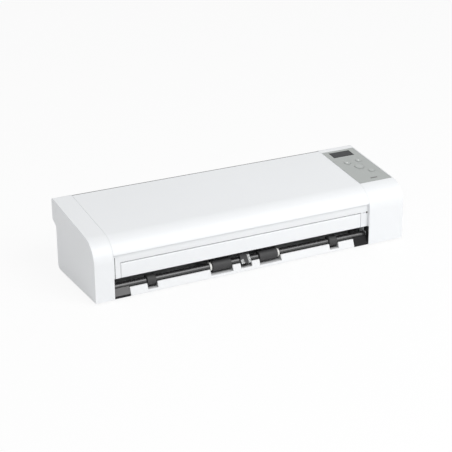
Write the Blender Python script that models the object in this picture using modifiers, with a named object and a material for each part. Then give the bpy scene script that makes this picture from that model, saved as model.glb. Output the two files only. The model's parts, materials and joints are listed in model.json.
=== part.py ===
"""Portable sheet-fed document scanner, modelled as an assembly of separate pieces.

Metres, +Z up, +X to the right seen from the front, the front faces -Y.
The origin is on the ground under the middle of the case.
"""

import math

import bmesh
import bpy
from mathutils import Matrix, Vector

# Case
WIDTH = 0.300
DEPTH = 0.092
FOOT_HEIGHT = 0.0015
FRONT_TOP = 0.0513
TOP_SLOPE = math.radians(8.0)
FRONT_ROUND = 0.020
REAR_ROUND = 0.003
OVERHANG = 0.008
OVERHANG_Z = 0.0442
STEP_Z = 0.0402
STEP_ROUND = 0.002
BOTTOM_ROUND = 0.005
SIDE_ROUND = 0.0015
SIDE_ROUND_ANGLE = math.radians(60)
WALL = 0.0022
POD_TOP_WALL = 0.0032
RIM_WALL = 0.0018
FLOOR = 0.0015
LEFT_COLUMN = 0.017
RIGHT_COLUMN = 0.036

# Clearances
GAP = 0.0003
FIT = 0.0002
SEAM = 0.0008

# Lid
LID_WALL = 0.0022
LID_EDGE_Z = 0.0397
BARREL_R = 0.0037
HINGE_PIN_R = 0.0015
HINGE_PIN_LENGTH = 0.009
PIN_IN_LID = 0.006

# Front strip, flap and exit slot
RECESS = 0.003
STRIP = 0.002
STRIP_Z = 0.0321
COVER_LAP = 0.0005
FLAP_THICK = 0.0024
FLAP_BOTTOM = 0.0184
FLAP_INSET = 0.0075
TAB_DEPTH = 0.0048
FLAP_PIN_R = 0.0006
FLAP_PIN_LENGTH = 0.004
RAMP_END_GAP = 0.0001
RAMP_LIP = 0.0008
RAMP_TOP = 0.0084
RAMP_SHELF = 0.0045
LIP_LEAN = 0.0023
LIP_THICK = 0.0014
NOTCH_FLOOR = 0.0036
FLAG_NOTCH_DEPTH = 0.0042
RAMP_LENGTH = 0.0045
RAMP_BACK = 0.011

# Exit shaft and its rollers
EXIT_SETBACK = 0.008
EXIT_Z = 0.0092
EXIT_SHAFT_R = 0.003
EXIT_NECK_R = 0.002
EXIT_ROLLER_R = 0.005
EXIT_ROLLER_WIDTH = 0.018
EXIT_ROLLER_X = 0.0227
BUSH_R = 0.0039
BUSH_WIDTH = 0.0018
BLOCK_WIDTH = 0.0141
BLOCK_DEPTH = 0.009
BLOCK_RIM = 0.0008
SHAFT_ROOM = 0.0065
END_ROLLER_INSET = 0.0203
END_ROLLER_WIDTH = 0.008
END_ROLLER_R = 0.0048
PINCH_SETBACK = 0.010
PINCH_Z = 0.0177
PINCH_SHAFT_R = 0.001
PINCH_ROLLER_R = 0.0034
FLAG_WIDTH = 0.0095
FLAG_HUB_R = 0.0022
FLAG_ARM = 0.001
FLAG_TIP_SETBACK = 0.0018
FLAG_TIP_Z = 0.0080

# Paper path, feed shaft and scan bars
PATH_SETBACK = 0.071
PATH_Z = 0.0472
PATH_SLOPE = math.radians(25.7)
FEED_SETBACK = 0.0545
FEED_Z = 0.0304
FEED_SHAFT_R = 0.0025
FEED_ROLLER_R = 0.008
FEED_ROLLER_WIDTH = 0.014
PAD_WIDTH = 0.050
PAD_LENGTH = 0.012
PAD_MARGIN = 0.009
PAD_THICK = 0.002
HOLDER_THICK = 0.003
PATH_GAP = 0.0010
BAR_LENGTH = 0.012
BAR_HEIGHT = 0.009
GLASS = 0.0012
LOWER_BAR_SETBACK = 0.034
UPPER_BAR_SETBACK = 0.026
PLATE = 0.0012
PLATE_REAR_GAP = 0.0008
PLATE_TOP = 0.0492
COVER = 0.0018
COVER_BEND_SETBACK = 0.010
COVER_FRONT_Z = 0.0422
COVER_REAR_SETBACK = 0.058
COVER_REAR_Z = 0.0477
DECK = 0.0016
DECK_FRONT_SETBACK = 0.047
DECK_REAR_GAP = 0.0028
GUIDE_INSET = 0.0155
GUIDE_THICK = 0.002
GUIDE_FOOT = 0.008
GUIDE_END_GAP = 0.0015
GUIDE_HEIGHT = 0.007
GUIDE_LENGTH = 0.0105
ROLLER_WINDOW = 0.001

# Gear train and motor, in the right end of the case
MODULE = 0.0006
BACKLASH = 0.0002
GEAR_WIDTH = 0.0035
GEAR_OFFSET = 0.002
EXIT_TEETH = 15
FEED_TEETH = 27
FRONT_IDLER_TEETH = 40
REAR_IDLER_TEETH = 19
PINION_TEETH = 12
MESH_SLACK = 0.0001
FRONT_IDLER_ANGLE = math.radians(51.81)
MOTOR_ANGLE = math.radians(30.43)
PRESSURE_ANGLE = math.radians(20)
ROOT_SHARE = 1.25
MOTOR_R = 0.010
MOTOR_LENGTH = 0.018
MOTOR_SHAFT_R = 0.001
STUD_R = 0.0015
GEAR_PLATE_FRONT_SETBACK = 0.010
GEAR_PLATE_REAR_SETBACK = 0.066
GEAR_PLATE_TOP = 0.0442

# Boards and sockets
BOARD = 0.0016
BOARD_LEFT_INSET = 0.013
BOARD_RIGHT_INSET = 0.024
BOARD_DEPTH = 0.0255
BOSS_R = 0.0025
BOSS_HEIGHT = 0.002
USB_INSET = 0.060
USB_WIDTH = 0.009
USB_HEIGHT = 0.0034
POWER_INSET = 0.030
POWER_WIDTH = 0.009
POWER_HEIGHT = 0.010
POWER_HOLE_R = 0.0028
SOCKET_LENGTH = 0.0115

# Control panel
PANEL_SETBACK = 0.018
PANEL_REAR_RIM = 0.008
PANEL_INNER_EDGE = 0.0006
PANEL_OUTER_EDGE = 0.001
PANEL_THICK = 0.0015
PANEL_LEDGE = 0.0012
DISPLAY_INSET = 0.01875
DISPLAY_BELOW = 0.0085
DISPLAY_WIDTH = 0.0215
DISPLAY_LENGTH = 0.010
MODULE_MARGIN = 0.0010
MODULE_THICK = 0.0016
BUTTONS = {
    "button_left": (0.0236, 0.0261, 0.003),
    "button_right": (0.0107, 0.0253, 0.003),
    "button_scan": (0.0170, 0.0365, 0.0042),
    "button_power": (0.0103, 0.0466, 0.003),
}
BUTTON_PROUD = 0.0004
BUTTON_FLANGE = 0.0008
BUTTON_FLANGE_THICK = 0.0030
BUTTON_TRAVEL = 0.0006
LENS_INSET = 0.0166
LENS_SETBACK = 0.006
LENS_WIDTH = 0.007
LENS_LENGTH = 0.0016
PANEL_BOARD_MARGIN = 0.004

# Feet and screws
FOOT_R = 0.005
FOOT_INSET = 0.013
FOOT_FRONT_SETBACK = 0.012
FOOT_REAR_SETBACK = 0.024
SCREW_HEAD_R = 0.0022
SCREW_R = 0.0011
SCREW_LENGTH = 0.008
SCREW_SETBACK = 0.040

# Facets
ROUND_STEPS = 24
SMALL_STEPS = 16
ARC_STEPS = 8

# Places worked out from the sizes above
FRONT_Y = -DEPTH / 2
REAR_Y = DEPTH / 2
LOWER_REAR_Y = REAR_Y - OVERHANG
LEFT_X = -WIDTH / 2
RIGHT_X = WIDTH / 2
OPEN_LEFT = LEFT_X + LEFT_COLUMN
OPEN_RIGHT = RIGHT_X - RIGHT_COLUMN
SLOT_X = (OPEN_LEFT + OPEN_RIGHT) / 2
HALF_OPENING = (OPEN_RIGHT - OPEN_LEFT) / 2
EXIT_Y = FRONT_Y + EXIT_SETBACK
PINCH_Y = FRONT_Y + PINCH_SETBACK
FLAG_TIP_Y = FRONT_Y + FLAG_TIP_SETBACK
PATH_Y = FRONT_Y + PATH_SETBACK
FEED_Y = FRONT_Y + FEED_SETBACK
FEED_ROLLER_X = PAD_WIDTH / 2 - PAD_MARGIN
LOWER_BAR_Y = FRONT_Y + LOWER_BAR_SETBACK
UPPER_BAR_Y = FRONT_Y + UPPER_BAR_SETBACK
PLATE_REAR_Y = LOWER_REAR_Y - WALL - PLATE_REAR_GAP
COVER_FRONT_Y = FRONT_Y + COVER_BEND_SETBACK
COVER_REAR_Y = FRONT_Y + COVER_REAR_SETBACK
DECK_FRONT_Y = FRONT_Y + DECK_FRONT_SETBACK
DECK_REAR_Y = LOWER_REAR_Y - WALL - DECK_REAR_GAP
DECK_LENGTH = (DECK_REAR_Y - DECK_FRONT_Y) / math.cos(PATH_SLOPE)
GUIDE_X = HALF_OPENING - GUIDE_INSET
RAMP_HALF = HALF_OPENING - BLOCK_WIDTH - 2 * GAP - RAMP_END_GAP
END_ROLLER_X = RAMP_HALF - END_ROLLER_INSET
BOARD_LEFT_X = OPEN_LEFT + BOARD_LEFT_INSET
BOARD_RIGHT_X = OPEN_RIGHT - BOARD_RIGHT_INSET
BOARD_FRONT_Y = LOWER_REAR_Y - WALL - GAP - BOARD_DEPTH
USB_X = BOARD_RIGHT_X - USB_INSET
POWER_X = BOARD_RIGHT_X - POWER_INSET
PANEL_FRONT_Y = FRONT_Y + PANEL_SETBACK
PANEL_REAR_Y = REAR_Y - PANEL_REAR_RIM
DISPLAY_X = RIGHT_X - DISPLAY_INSET
DISPLAY_Y = PANEL_REAR_Y - DISPLAY_BELOW
LENS_X = RIGHT_X - LENS_INSET
LENS_Y = PANEL_FRONT_Y + LENS_SETBACK
FOOT_X = RIGHT_X - FOOT_INSET
FOOT_FRONT_Y = FRONT_Y + FOOT_FRONT_SETBACK
FOOT_REAR_Y = REAR_Y - FOOT_REAR_SETBACK
BOTTOM = FOOT_HEIGHT
FLOOR_TOP = BOTTOM + FLOOR
BEYOND = 0.02
INNER_LEFT = OPEN_LEFT + 2 * GAP + PLATE
INNER_RIGHT = OPEN_RIGHT - 2 * GAP - PLATE
GEAR_X = OPEN_RIGHT + WALL + GEAR_OFFSET
GEAR_END = GEAR_X + GEAR_WIDTH
GEAR_PLATE_X = GEAR_END + GAP

PARTS = None
CUTTERS = None


def top_z(y):
    """Height of the sloping top above a place y."""
    return FRONT_TOP + (y - FRONT_Y) * math.tan(TOP_SLOPE)


def path_z(y):
    """Height of the paper above a place y."""
    return PATH_Z - (PATH_Y - y) * math.tan(PATH_SLOPE)


HINGE_Y = REAR_Y - BARREL_R
HINGE_Z = top_z(HINGE_Y) - BARREL_R / math.cos(TOP_SLOPE)
FLAP_Y = FRONT_Y + RECESS + FLAP_THICK / 2
FLAP_Z = STRIP_Z - SEAM - FLAP_THICK / 2


def start_collections():
    """Empty the file and make one collection for the pieces and one for the cutters."""
    global PARTS, CUTTERS
    for old in list(bpy.data.objects):
        bpy.data.objects.remove(old, do_unlink=True)
    PARTS = bpy.data.collections.new("document_scanner")
    CUTTERS = bpy.data.collections.new("cutters")
    bpy.context.scene.collection.children.link(PARTS)
    bpy.context.scene.collection.children.link(CUTTERS)


def finish(name, colour, roughness=0.45, metallic=0.0):
    """A Principled material for one piece."""
    material = bpy.data.materials.new(name)
    material.use_nodes = True
    shader = material.node_tree.nodes["Principled BSDF"]
    shader.inputs["Base Color"].default_value = (*colour, 1.0)
    shader.inputs["Roughness"].default_value = roughness
    shader.inputs["Metallic"].default_value = metallic
    return material


WHITE = (0.86, 0.87, 0.89)
GREY = (0.42, 0.44, 0.43)
DARK = (0.03, 0.03, 0.032)
RUBBER = (0.05, 0.05, 0.05)
STEEL = (0.55, 0.56, 0.57)
GREEN = (0.02, 0.16, 0.08)


def rounded(corners):
    """Outline through (y, z, radius) corners, each rounded by an arc of its radius."""
    points = []
    count = len(corners)
    for index in range(count):
        here = Vector(corners[index][:2])
        radius = corners[index][2]
        before = (Vector(corners[index - 1][:2]) - here).normalized()
        after = (Vector(corners[(index + 1) % count][:2]) - here).normalized()
        if radius == 0:
            points.append(tuple(here))
            continue
        half = before.angle(after) / 2
        centre = here + (before + after).normalized() * radius / math.sin(half)
        start = here + before * radius / math.tan(half) - centre
        end = here + after * radius / math.tan(half) - centre
        turn = math.atan2(start.x * end.y - start.y * end.x, start.dot(end))
        steps = max(2, round(ARC_STEPS * abs(turn) / (math.pi / 2)))
        for step in range(steps + 1):
            part = turn * step / steps
            across = Vector((-start.y, start.x))
            points.append(tuple(centre + start * math.cos(part) + across * math.sin(part)))
    return points


def circle(y, z, radius, steps=ROUND_STEPS):
    """Outline of a circle."""
    turns = [2 * math.pi * step / steps for step in range(steps)]
    return [(y + radius * math.cos(a), z + radius * math.sin(a)) for a in turns]


def rectangle(low_y, high_y, low_z, high_z):
    """Outline of a rectangle."""
    return [(low_y, low_z), (high_y, low_z), (high_y, high_z), (low_y, high_z)]


def along_path(y, low, high, length):
    """Outline of a rectangle that follows the paper, from low to high above it, centred over y."""
    run = Vector((math.cos(PATH_SLOPE), math.sin(PATH_SLOPE)))
    up = Vector((-math.sin(PATH_SLOPE), math.cos(PATH_SLOPE)))
    middle = Vector((y, path_z(y)))
    offsets = ((-length / 2, low), (length / 2, low), (length / 2, high), (-length / 2, high))
    return [tuple(middle + run * s + up * h) for s, h in offsets]


def mesh_object(name, mesh, material, collection=None):
    """Link a mesh as a named object."""
    piece = bpy.data.objects.new(name, mesh)
    (collection or PARTS).objects.link(piece)
    if material:
        mesh.materials.clear()
        mesh.materials.append(material)
    return piece


def prism(name, outlines, low_x, high_x, material=None):
    """Extrude flat outlines in the y-z plane along X; the outlines after the first are holes."""
    curve = bpy.data.curves.new(name, "CURVE")
    curve.dimensions = "2D"
    curve.fill_mode = "BOTH"
    curve.extrude = (high_x - low_x) / 2
    for outline in outlines:
        spline = curve.splines.new("POLY")
        spline.points.add(len(outline) - 1)
        for point, (y, z) in zip(spline.points, outline):
            point.co = (y, z, 0.0, 1.0)
        spline.use_cyclic_u = True
    flat = bpy.data.objects.new(name, curve)
    PARTS.objects.link(flat)
    bpy.context.view_layer.update()
    evaluated = flat.evaluated_get(bpy.context.evaluated_depsgraph_get())
    mesh = bpy.data.meshes.new_from_object(evaluated)
    bpy.data.objects.remove(flat, do_unlink=True)
    upright = Matrix(((0, 0, 1), (1, 0, 0), (0, 1, 0))).to_4x4()
    mesh.transform(Matrix.Translation(((low_x + high_x) / 2, 0, 0)) @ upright)
    closed = bmesh.new()
    closed.from_mesh(mesh)
    bmesh.ops.remove_doubles(closed, verts=closed.verts, dist=1e-6)
    if len(outlines) == 1:
        bmesh.ops.dissolve_limit(closed, angle_limit=1e-4, verts=closed.verts, edges=closed.edges)
    bmesh.ops.recalc_face_normals(closed, faces=closed.faces)
    closed.to_mesh(mesh)
    closed.free()
    return mesh_object(name, mesh, material)


def box(name, low, high, material=None):
    """A block between two corners."""
    solid = bmesh.new()
    bmesh.ops.create_cube(solid, size=1.0)
    size = Vector(high) - Vector(low)
    bmesh.ops.scale(solid, vec=size, verts=solid.verts)
    bmesh.ops.translate(solid, vec=(Vector(low) + Vector(high)) / 2, verts=solid.verts)
    mesh = bpy.data.meshes.new(name)
    solid.to_mesh(mesh)
    solid.free()
    return mesh_object(name, mesh, material)


def rod(name, low, high, radius, material=None, axis="X", steps=ROUND_STEPS):
    """A cylinder from one axis point to another, along one of the axes."""
    low = Vector(low)
    high = Vector(high)
    solid = bmesh.new()
    turns = {
        "X": Matrix.Rotation(math.pi / 2, 4, "Y"),
        "Y": Matrix.Rotation(math.pi / 2, 4, "X"),
        "Z": Matrix.Identity(4),
    }
    place = Matrix.Translation((low + high) / 2) @ turns[axis]
    bmesh.ops.create_cone(solid, cap_ends=True, segments=steps, radius1=radius, radius2=radius,
                          depth=(high - low).length, matrix=place)
    mesh = bpy.data.meshes.new(name)
    solid.to_mesh(mesh)
    solid.free()
    piece = mesh_object(name, mesh, material)
    mesh.shade_smooth()
    mesh.set_sharp_from_angle(angle=math.radians(40))
    return piece


def boolean(piece, other, operation):
    """Cut or join a piece with another, which becomes a hidden cutter."""
    change = piece.modifiers.new(other.name, "BOOLEAN")
    change.operation = operation
    change.solver = "EXACT"
    change.object = other
    PARTS.objects.unlink(other)
    CUTTERS.objects.link(other)
    other.hide_render = True
    other.display_type = "WIRE"


def cut(piece, other):
    """Take another shape out of a piece."""
    boolean(piece, other, "DIFFERENCE")


def join(piece, other):
    """Fuse another shape to a piece."""
    boolean(piece, other, "UNION")


def pivot(piece, point):
    """Put a moving piece's origin on its joint's axis."""
    piece.data.transform(Matrix.Translation(-Vector(point)))
    piece.location = point


def case_corners(inset, top_inset, bottom):
    """Corners of the case's side outline, or of its hollow when inset by the walls."""
    lean = (OVERHANG_Z - STEP_Z) / OVERHANG
    lift = inset * (math.hypot(1, lean) - lean)
    drop = top_inset / math.cos(TOP_SLOPE)
    front = FRONT_Y + inset
    rear = REAR_Y - inset
    lower_rear = LOWER_REAR_Y - inset
    low_round = BOTTOM_ROUND if inset == 0 else 0
    return [
        (front, bottom, 0),
        (front, top_z(front) - drop, FRONT_ROUND - top_inset),
        (rear, top_z(rear) - drop, REAR_ROUND),
        (rear, OVERHANG_Z + lift, STEP_ROUND),
        (lower_rear, STEP_Z + lift, STEP_ROUND),
        (lower_rear, bottom, low_round),
    ]


def rim_top(y):
    """Height of the rear rim's top at a place y, clear of the lid's turning barrel."""
    reach = BARREL_R + 2 * GAP
    return HINGE_Z - math.sqrt(reach ** 2 - (y - HINGE_Y) ** 2)


def middle_outline():
    """What is taken out between the two end pods: all but the rear wall and its overhang."""
    hollow = case_corners(WALL, WALL, BOTTOM)
    rear = REAR_Y - RIM_WALL
    outside = REAR_Y + GAP / 2
    return [
        (FRONT_Y - BEYOND, BOTTOM - BEYOND),
        (LOWER_REAR_Y - WALL, BOTTOM - BEYOND),
        (LOWER_REAR_Y - WALL, hollow[4][1]),
        (rear, hollow[3][1]),
        (rear, rim_top(rear)),
        ((rear + outside) / 2, rim_top((rear + outside) / 2)),
        (outside, rim_top(outside)),
        (REAR_Y + BEYOND, rim_top(outside)),
        (REAR_Y + BEYOND, top_z(REAR_Y) + BEYOND),
        (FRONT_Y - BEYOND, top_z(REAR_Y) + BEYOND),
    ]


def panel_v(y):
    """Distance up the sloping top of a place y, from the panel frame's origin."""
    return y / math.cos(TOP_SLOPE)


def on_panel(piece, frame):
    """Fix a piece, modelled flat, to the sloping panel frame."""
    piece.parent = frame
    return piece


def panel_block(name, frame, inset, low, high, material=None):
    """A block with the panel's outline, inset all round, between two depths."""
    first = (OPEN_RIGHT + PANEL_INNER_EDGE + inset, panel_v(PANEL_FRONT_Y) + inset, low)
    last = (RIGHT_X - PANEL_OUTER_EDGE - inset, panel_v(PANEL_REAR_Y) - inset, high)
    return on_panel(box(name, first, last, material), frame)


def flap_tab(side):
    """Fixed tab beside one end of the flap, which holds the flap's pin; side is -1 or 1."""
    outer = OPEN_LEFT if side < 0 else OPEN_RIGHT
    inner = outer - side * (FLAP_INSET - GAP)
    low_x = min(outer + side * WALL / 2, inner)
    high_x = max(outer + side * WALL / 2, inner)
    low = (low_x, FRONT_Y + RECESS, FLAP_BOTTOM)
    high = (high_x, FRONT_Y + RECESS + TAB_DEPTH, STRIP_Z + STRIP / 2)
    return box("tab", low, high)


def socket_block(name, x, width, height, slack, material=None):
    """Outside of a socket in the rear wall, standing on the main board."""
    low_z = FLOOR_TOP + BOSS_HEIGHT + BOARD + 2 * GAP
    rear = LOWER_REAR_Y - FIT
    low = (x - width / 2 - slack, rear - SOCKET_LENGTH - slack, low_z - slack)
    high = (x + width / 2 + slack, rear + slack, low_z + height + slack)
    return box(name, low, high, material)


def make_upper_shell(frame):
    """White case: two hollow end pods, the rear wall with its overhang and the front strip."""
    shell = prism("upper_shell", [rounded(case_corners(0, 0, BOTTOM))], LEFT_X, RIGHT_X,
                  finish("upper_shell", WHITE))
    edges = shell.modifiers.new("side_round", "BEVEL")
    edges.width = SIDE_ROUND
    edges.segments = 2
    edges.limit_method = "ANGLE"
    edges.angle_limit = SIDE_ROUND_ANGLE
    hollow = rounded(case_corners(WALL, POD_TOP_WALL, BOTTOM - BEYOND))
    cut(shell, prism("left_hollow", [hollow], LEFT_X + WALL, OPEN_LEFT - WALL))
    cut(shell, prism("right_hollow", [hollow], OPEN_RIGHT + WALL, RIGHT_X - WALL))
    cut(shell, prism("middle_hollow", [middle_outline()], OPEN_LEFT, OPEN_RIGHT))
    low = (LEFT_X + WALL, FRONT_Y + WALL, BOTTOM - BEYOND)
    high = (RIGHT_X - WALL, LOWER_REAR_Y - WALL, FLOOR_TOP + GAP)
    cut(shell, box("floor_room", low, high))
    low = (OPEN_LEFT - WALL / 2, FRONT_Y + RECESS, STRIP_Z)
    high = (OPEN_RIGHT + WALL / 2, FRONT_Y + RECESS + STRIP, LID_EDGE_Z - GAP)
    join(shell, box("front_strip", low, high))
    for side, edge in ((-1, OPEN_LEFT), (1, OPEN_RIGHT)):
        join(shell, flap_tab(side))
        pin_end = edge - side * (FLAP_INSET - GAP - FLAP_PIN_LENGTH - GAP)
        pin_start = edge - side * (FLAP_INSET + GAP)
        ends = sorted((pin_start, pin_end))
        cut(shell, rod("flap_pin_hole", (ends[0], FLAP_Y, FLAP_Z), (ends[1], FLAP_Y, FLAP_Z),
                       FLAP_PIN_R + FIT, steps=SMALL_STEPS))
        cut(shell, rod("hinge_hole", (edge - 2 * WALL, HINGE_Y, HINGE_Z),
                       (edge + 2 * WALL, HINGE_Y, HINGE_Z), HINGE_PIN_R + FIT, steps=SMALL_STEPS))
    for y, z, radius in ((EXIT_Y, EXIT_Z, EXIT_NECK_R), (FEED_Y, FEED_Z, FEED_SHAFT_R)):
        cut(shell, rod("shaft_hole", (OPEN_RIGHT - WALL, y, z), (OPEN_RIGHT + 2 * WALL, y, z),
                       radius + 2 * GAP, steps=SMALL_STEPS))
    cut(shell, panel_block("panel_recess", frame, 0, -PANEL_THICK - GAP, BEYOND))
    cut(shell, panel_block("panel_opening", frame, PANEL_LEDGE, -2 * POD_TOP_WALL, BEYOND))
    cut(shell, socket_block("usb_hole", USB_X, USB_WIDTH, USB_HEIGHT, GAP))
    cut(shell, socket_block("power_hole", POWER_X, POWER_WIDTH, POWER_HEIGHT, GAP))


def board_corners():
    """Centres of the bosses that carry the main board."""
    front = BOARD_FRONT_Y + 2 * BOSS_R
    rear = LOWER_REAR_Y - WALL - 2 * BOSS_R - GAP
    left = BOARD_LEFT_X + 2 * BOSS_R
    right = BOARD_RIGHT_X - 2 * BOSS_R
    return [(left, front), (right, front), (left, rear), (right, rear)]


def screw_places():
    """Centres of the case screws."""
    reach = RIGHT_X - WALL - 2 * SCREW_HEAD_R - GAP
    return [(side * reach, FRONT_Y + SCREW_SETBACK) for side in (-1, 1)]


def make_base_shell():
    """Floor pan inside the case's lower edge, with bosses for the main board."""
    low = (LEFT_X + WALL + GAP, FRONT_Y + WALL + GAP, BOTTOM)
    high = (RIGHT_X - WALL - GAP, LOWER_REAR_Y - WALL - GAP, FLOOR_TOP)
    base = box("base_shell", low, high, finish("base_shell", WHITE, 0.5))
    low = (SLOT_X - RAMP_HALF - GAP, FRONT_Y - BEYOND, BOTTOM - BEYOND)
    high = (SLOT_X + RAMP_HALF + GAP, ramp_front() + RAMP_LENGTH, FLOOR_TOP + BEYOND)
    cut(base, box("ramp_room", low, high))
    for x, y in board_corners():
        join(base, rod("boss", (x, y, FLOOR_TOP - FLOOR / 2), (x, y, FLOOR_TOP + BOSS_HEIGHT), BOSS_R,
                       axis="Z", steps=SMALL_STEPS))
    for x, y in screw_places():
        cut(base, rod("screw_hole", (x, y, BOTTOM - BEYOND), (x, y, FLOOR_TOP + BEYOND),
                      SCREW_HEAD_R + GAP, axis="Z", steps=SMALL_STEPS))


def ramp_front():
    """Front edge of the exit ramp, just behind the front of the case."""
    return FRONT_Y + RAMP_LIP


def make_exit_ramp():
    """White lip that the sheets slide out over, notched for the rollers."""
    front = ramp_front()
    step = front + RAMP_LENGTH - GAP
    back = front + RAMP_BACK
    lip = front + LIP_LEAN
    under = FLOOR_TOP + GAP
    outline = [
        (front, BOTTOM),
        (step, BOTTOM),
        (step, under),
        (back, under),
        (back, RAMP_SHELF),
        (lip + LIP_THICK, RAMP_SHELF),
        (lip + LIP_THICK, RAMP_TOP),
        (lip, RAMP_TOP),
        (front, BOTTOM + RAMP_LIP),
    ]
    ramp = prism("exit_ramp", [outline], SLOT_X - RAMP_HALF, SLOT_X + RAMP_HALF,
                 finish("exit_ramp", WHITE, 0.4))
    roller = EXIT_ROLLER_WIDTH / 2 + 2 * GAP
    bush = roller + BUSH_WIDTH + GAP
    end_roller = END_ROLLER_WIDTH / 2 + 2 * GAP
    flag = FLAG_WIDTH / 2 + 2 * GAP
    notches = [(SLOT_X - flag, SLOT_X + flag, RAMP_TOP - FLAG_NOTCH_DEPTH)]
    for side in (-1, 1):
        x = SLOT_X + side * EXIT_ROLLER_X
        ends = sorted((x - side * roller, x + side * bush))
        notches.append((ends[0], ends[1], NOTCH_FLOOR))
        x = SLOT_X + side * END_ROLLER_X
        notches.append((x - end_roller, x + end_roller, NOTCH_FLOOR))
    for left, right, floor in notches:
        cut(ramp, box("ramp_notch", (left, front - BEYOND, floor), (right, back + BEYOND, RAMP_TOP + BEYOND)))


def above_lid_edge(line):
    """The part of a rising line that is above the lid's front edge."""
    for index in range(1, len(line)):
        if line[index][1] > LID_EDGE_Z:
            below = Vector(line[index - 1])
            above = Vector(line[index])
            share = (LID_EDGE_Z - below.y) / (above.y - below.y)
            return [tuple(below.lerp(above, share))] + line[index:]
    return []


def lid_outline():
    """Side outline of the lid: curved front, sloping top and the round barrel along its rear edge."""
    inner_front = FRONT_Y + LID_WALL
    drop = LID_WALL / math.cos(TOP_SLOPE)
    outer = above_lid_edge(rounded([
        (FRONT_Y, BOTTOM, 0),
        (FRONT_Y, top_z(FRONT_Y), FRONT_ROUND),
        (HINGE_Y, top_z(HINGE_Y), 0),
    ]))[:-1]
    inner = above_lid_edge(rounded([
        (inner_front, BOTTOM, 0),
        (inner_front, top_z(inner_front) - drop, FRONT_ROUND - LID_WALL),
        (HINGE_Y, top_z(HINGE_Y) - drop, 0),
    ]))[:-1]
    inner.reverse()
    start = math.pi / 2 + TOP_SLOPE
    end = math.pi + TOP_SLOPE - math.asin((BARREL_R - LID_WALL) / BARREL_R) - 2 * math.pi
    barrel = []
    for step in range(ROUND_STEPS + 1):
        turn = start + (end - start) * step / ROUND_STEPS
        barrel.append((HINGE_Y + BARREL_R * math.cos(turn), HINGE_Z + BARREL_R * math.sin(turn)))
    return outer + barrel + inner


def make_lid():
    """Lid that opens backwards as the input tray, and its two hinge pins."""
    lid = prism("input_lid", [lid_outline()], OPEN_LEFT + GAP, OPEN_RIGHT - GAP,
                finish("input_lid", WHITE, 0.4))
    steel = finish("hinge_pins", STEEL, 0.3, 1.0)
    for name, edge, inward in (("hinge_pin_left", OPEN_LEFT, 1), ("hinge_pin_right", OPEN_RIGHT, -1)):
        free = edge + inward * PIN_IN_LID
        held = free - inward * HINGE_PIN_LENGTH
        ends = sorted((free, held))
        rod(name, (ends[0], HINGE_Y, HINGE_Z), (ends[1], HINGE_Y, HINGE_Z), HINGE_PIN_R, steel,
            steps=SMALL_STEPS)
        bore = sorted((edge - inward * GAP, free + inward * GAP))
        cut(lid, rod("lid_bore", (bore[0], HINGE_Y, HINGE_Z), (bore[1], HINGE_Y, HINGE_Z),
                     HINGE_PIN_R + FIT, steps=SMALL_STEPS))
    pivot(lid, (SLOT_X, HINGE_Y, HINGE_Z))


def make_flap():
    """Exit flap, hung by pins at the two ends of its rounded top edge."""
    front = FRONT_Y + RECESS
    back = front + FLAP_THICK
    top_round = []
    for step in range(ARC_STEPS + 1):
        turn = math.pi * step / ARC_STEPS
        top_round.append((FLAP_Y + FLAP_THICK / 2 * math.cos(turn), FLAP_Z + FLAP_THICK / 2 * math.sin(turn)))
    outline = [(front, FLAP_BOTTOM), (back, FLAP_BOTTOM)] + top_round
    left = OPEN_LEFT + FLAP_INSET
    right = OPEN_RIGHT - FLAP_INSET
    flap = prism("exit_flap", [outline], left, right, finish("exit_flap", WHITE, 0.4))
    for low_x, high_x in ((left - FLAP_PIN_LENGTH, left + WALL), (right - WALL, right + FLAP_PIN_LENGTH)):
        join(flap, rod("flap_pin", (low_x, FLAP_Y, FLAP_Z), (high_x, FLAP_Y, FLAP_Z), FLAP_PIN_R,
                       steps=SMALL_STEPS))
    pivot(flap, (SLOT_X, FLAP_Y, FLAP_Z))


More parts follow.
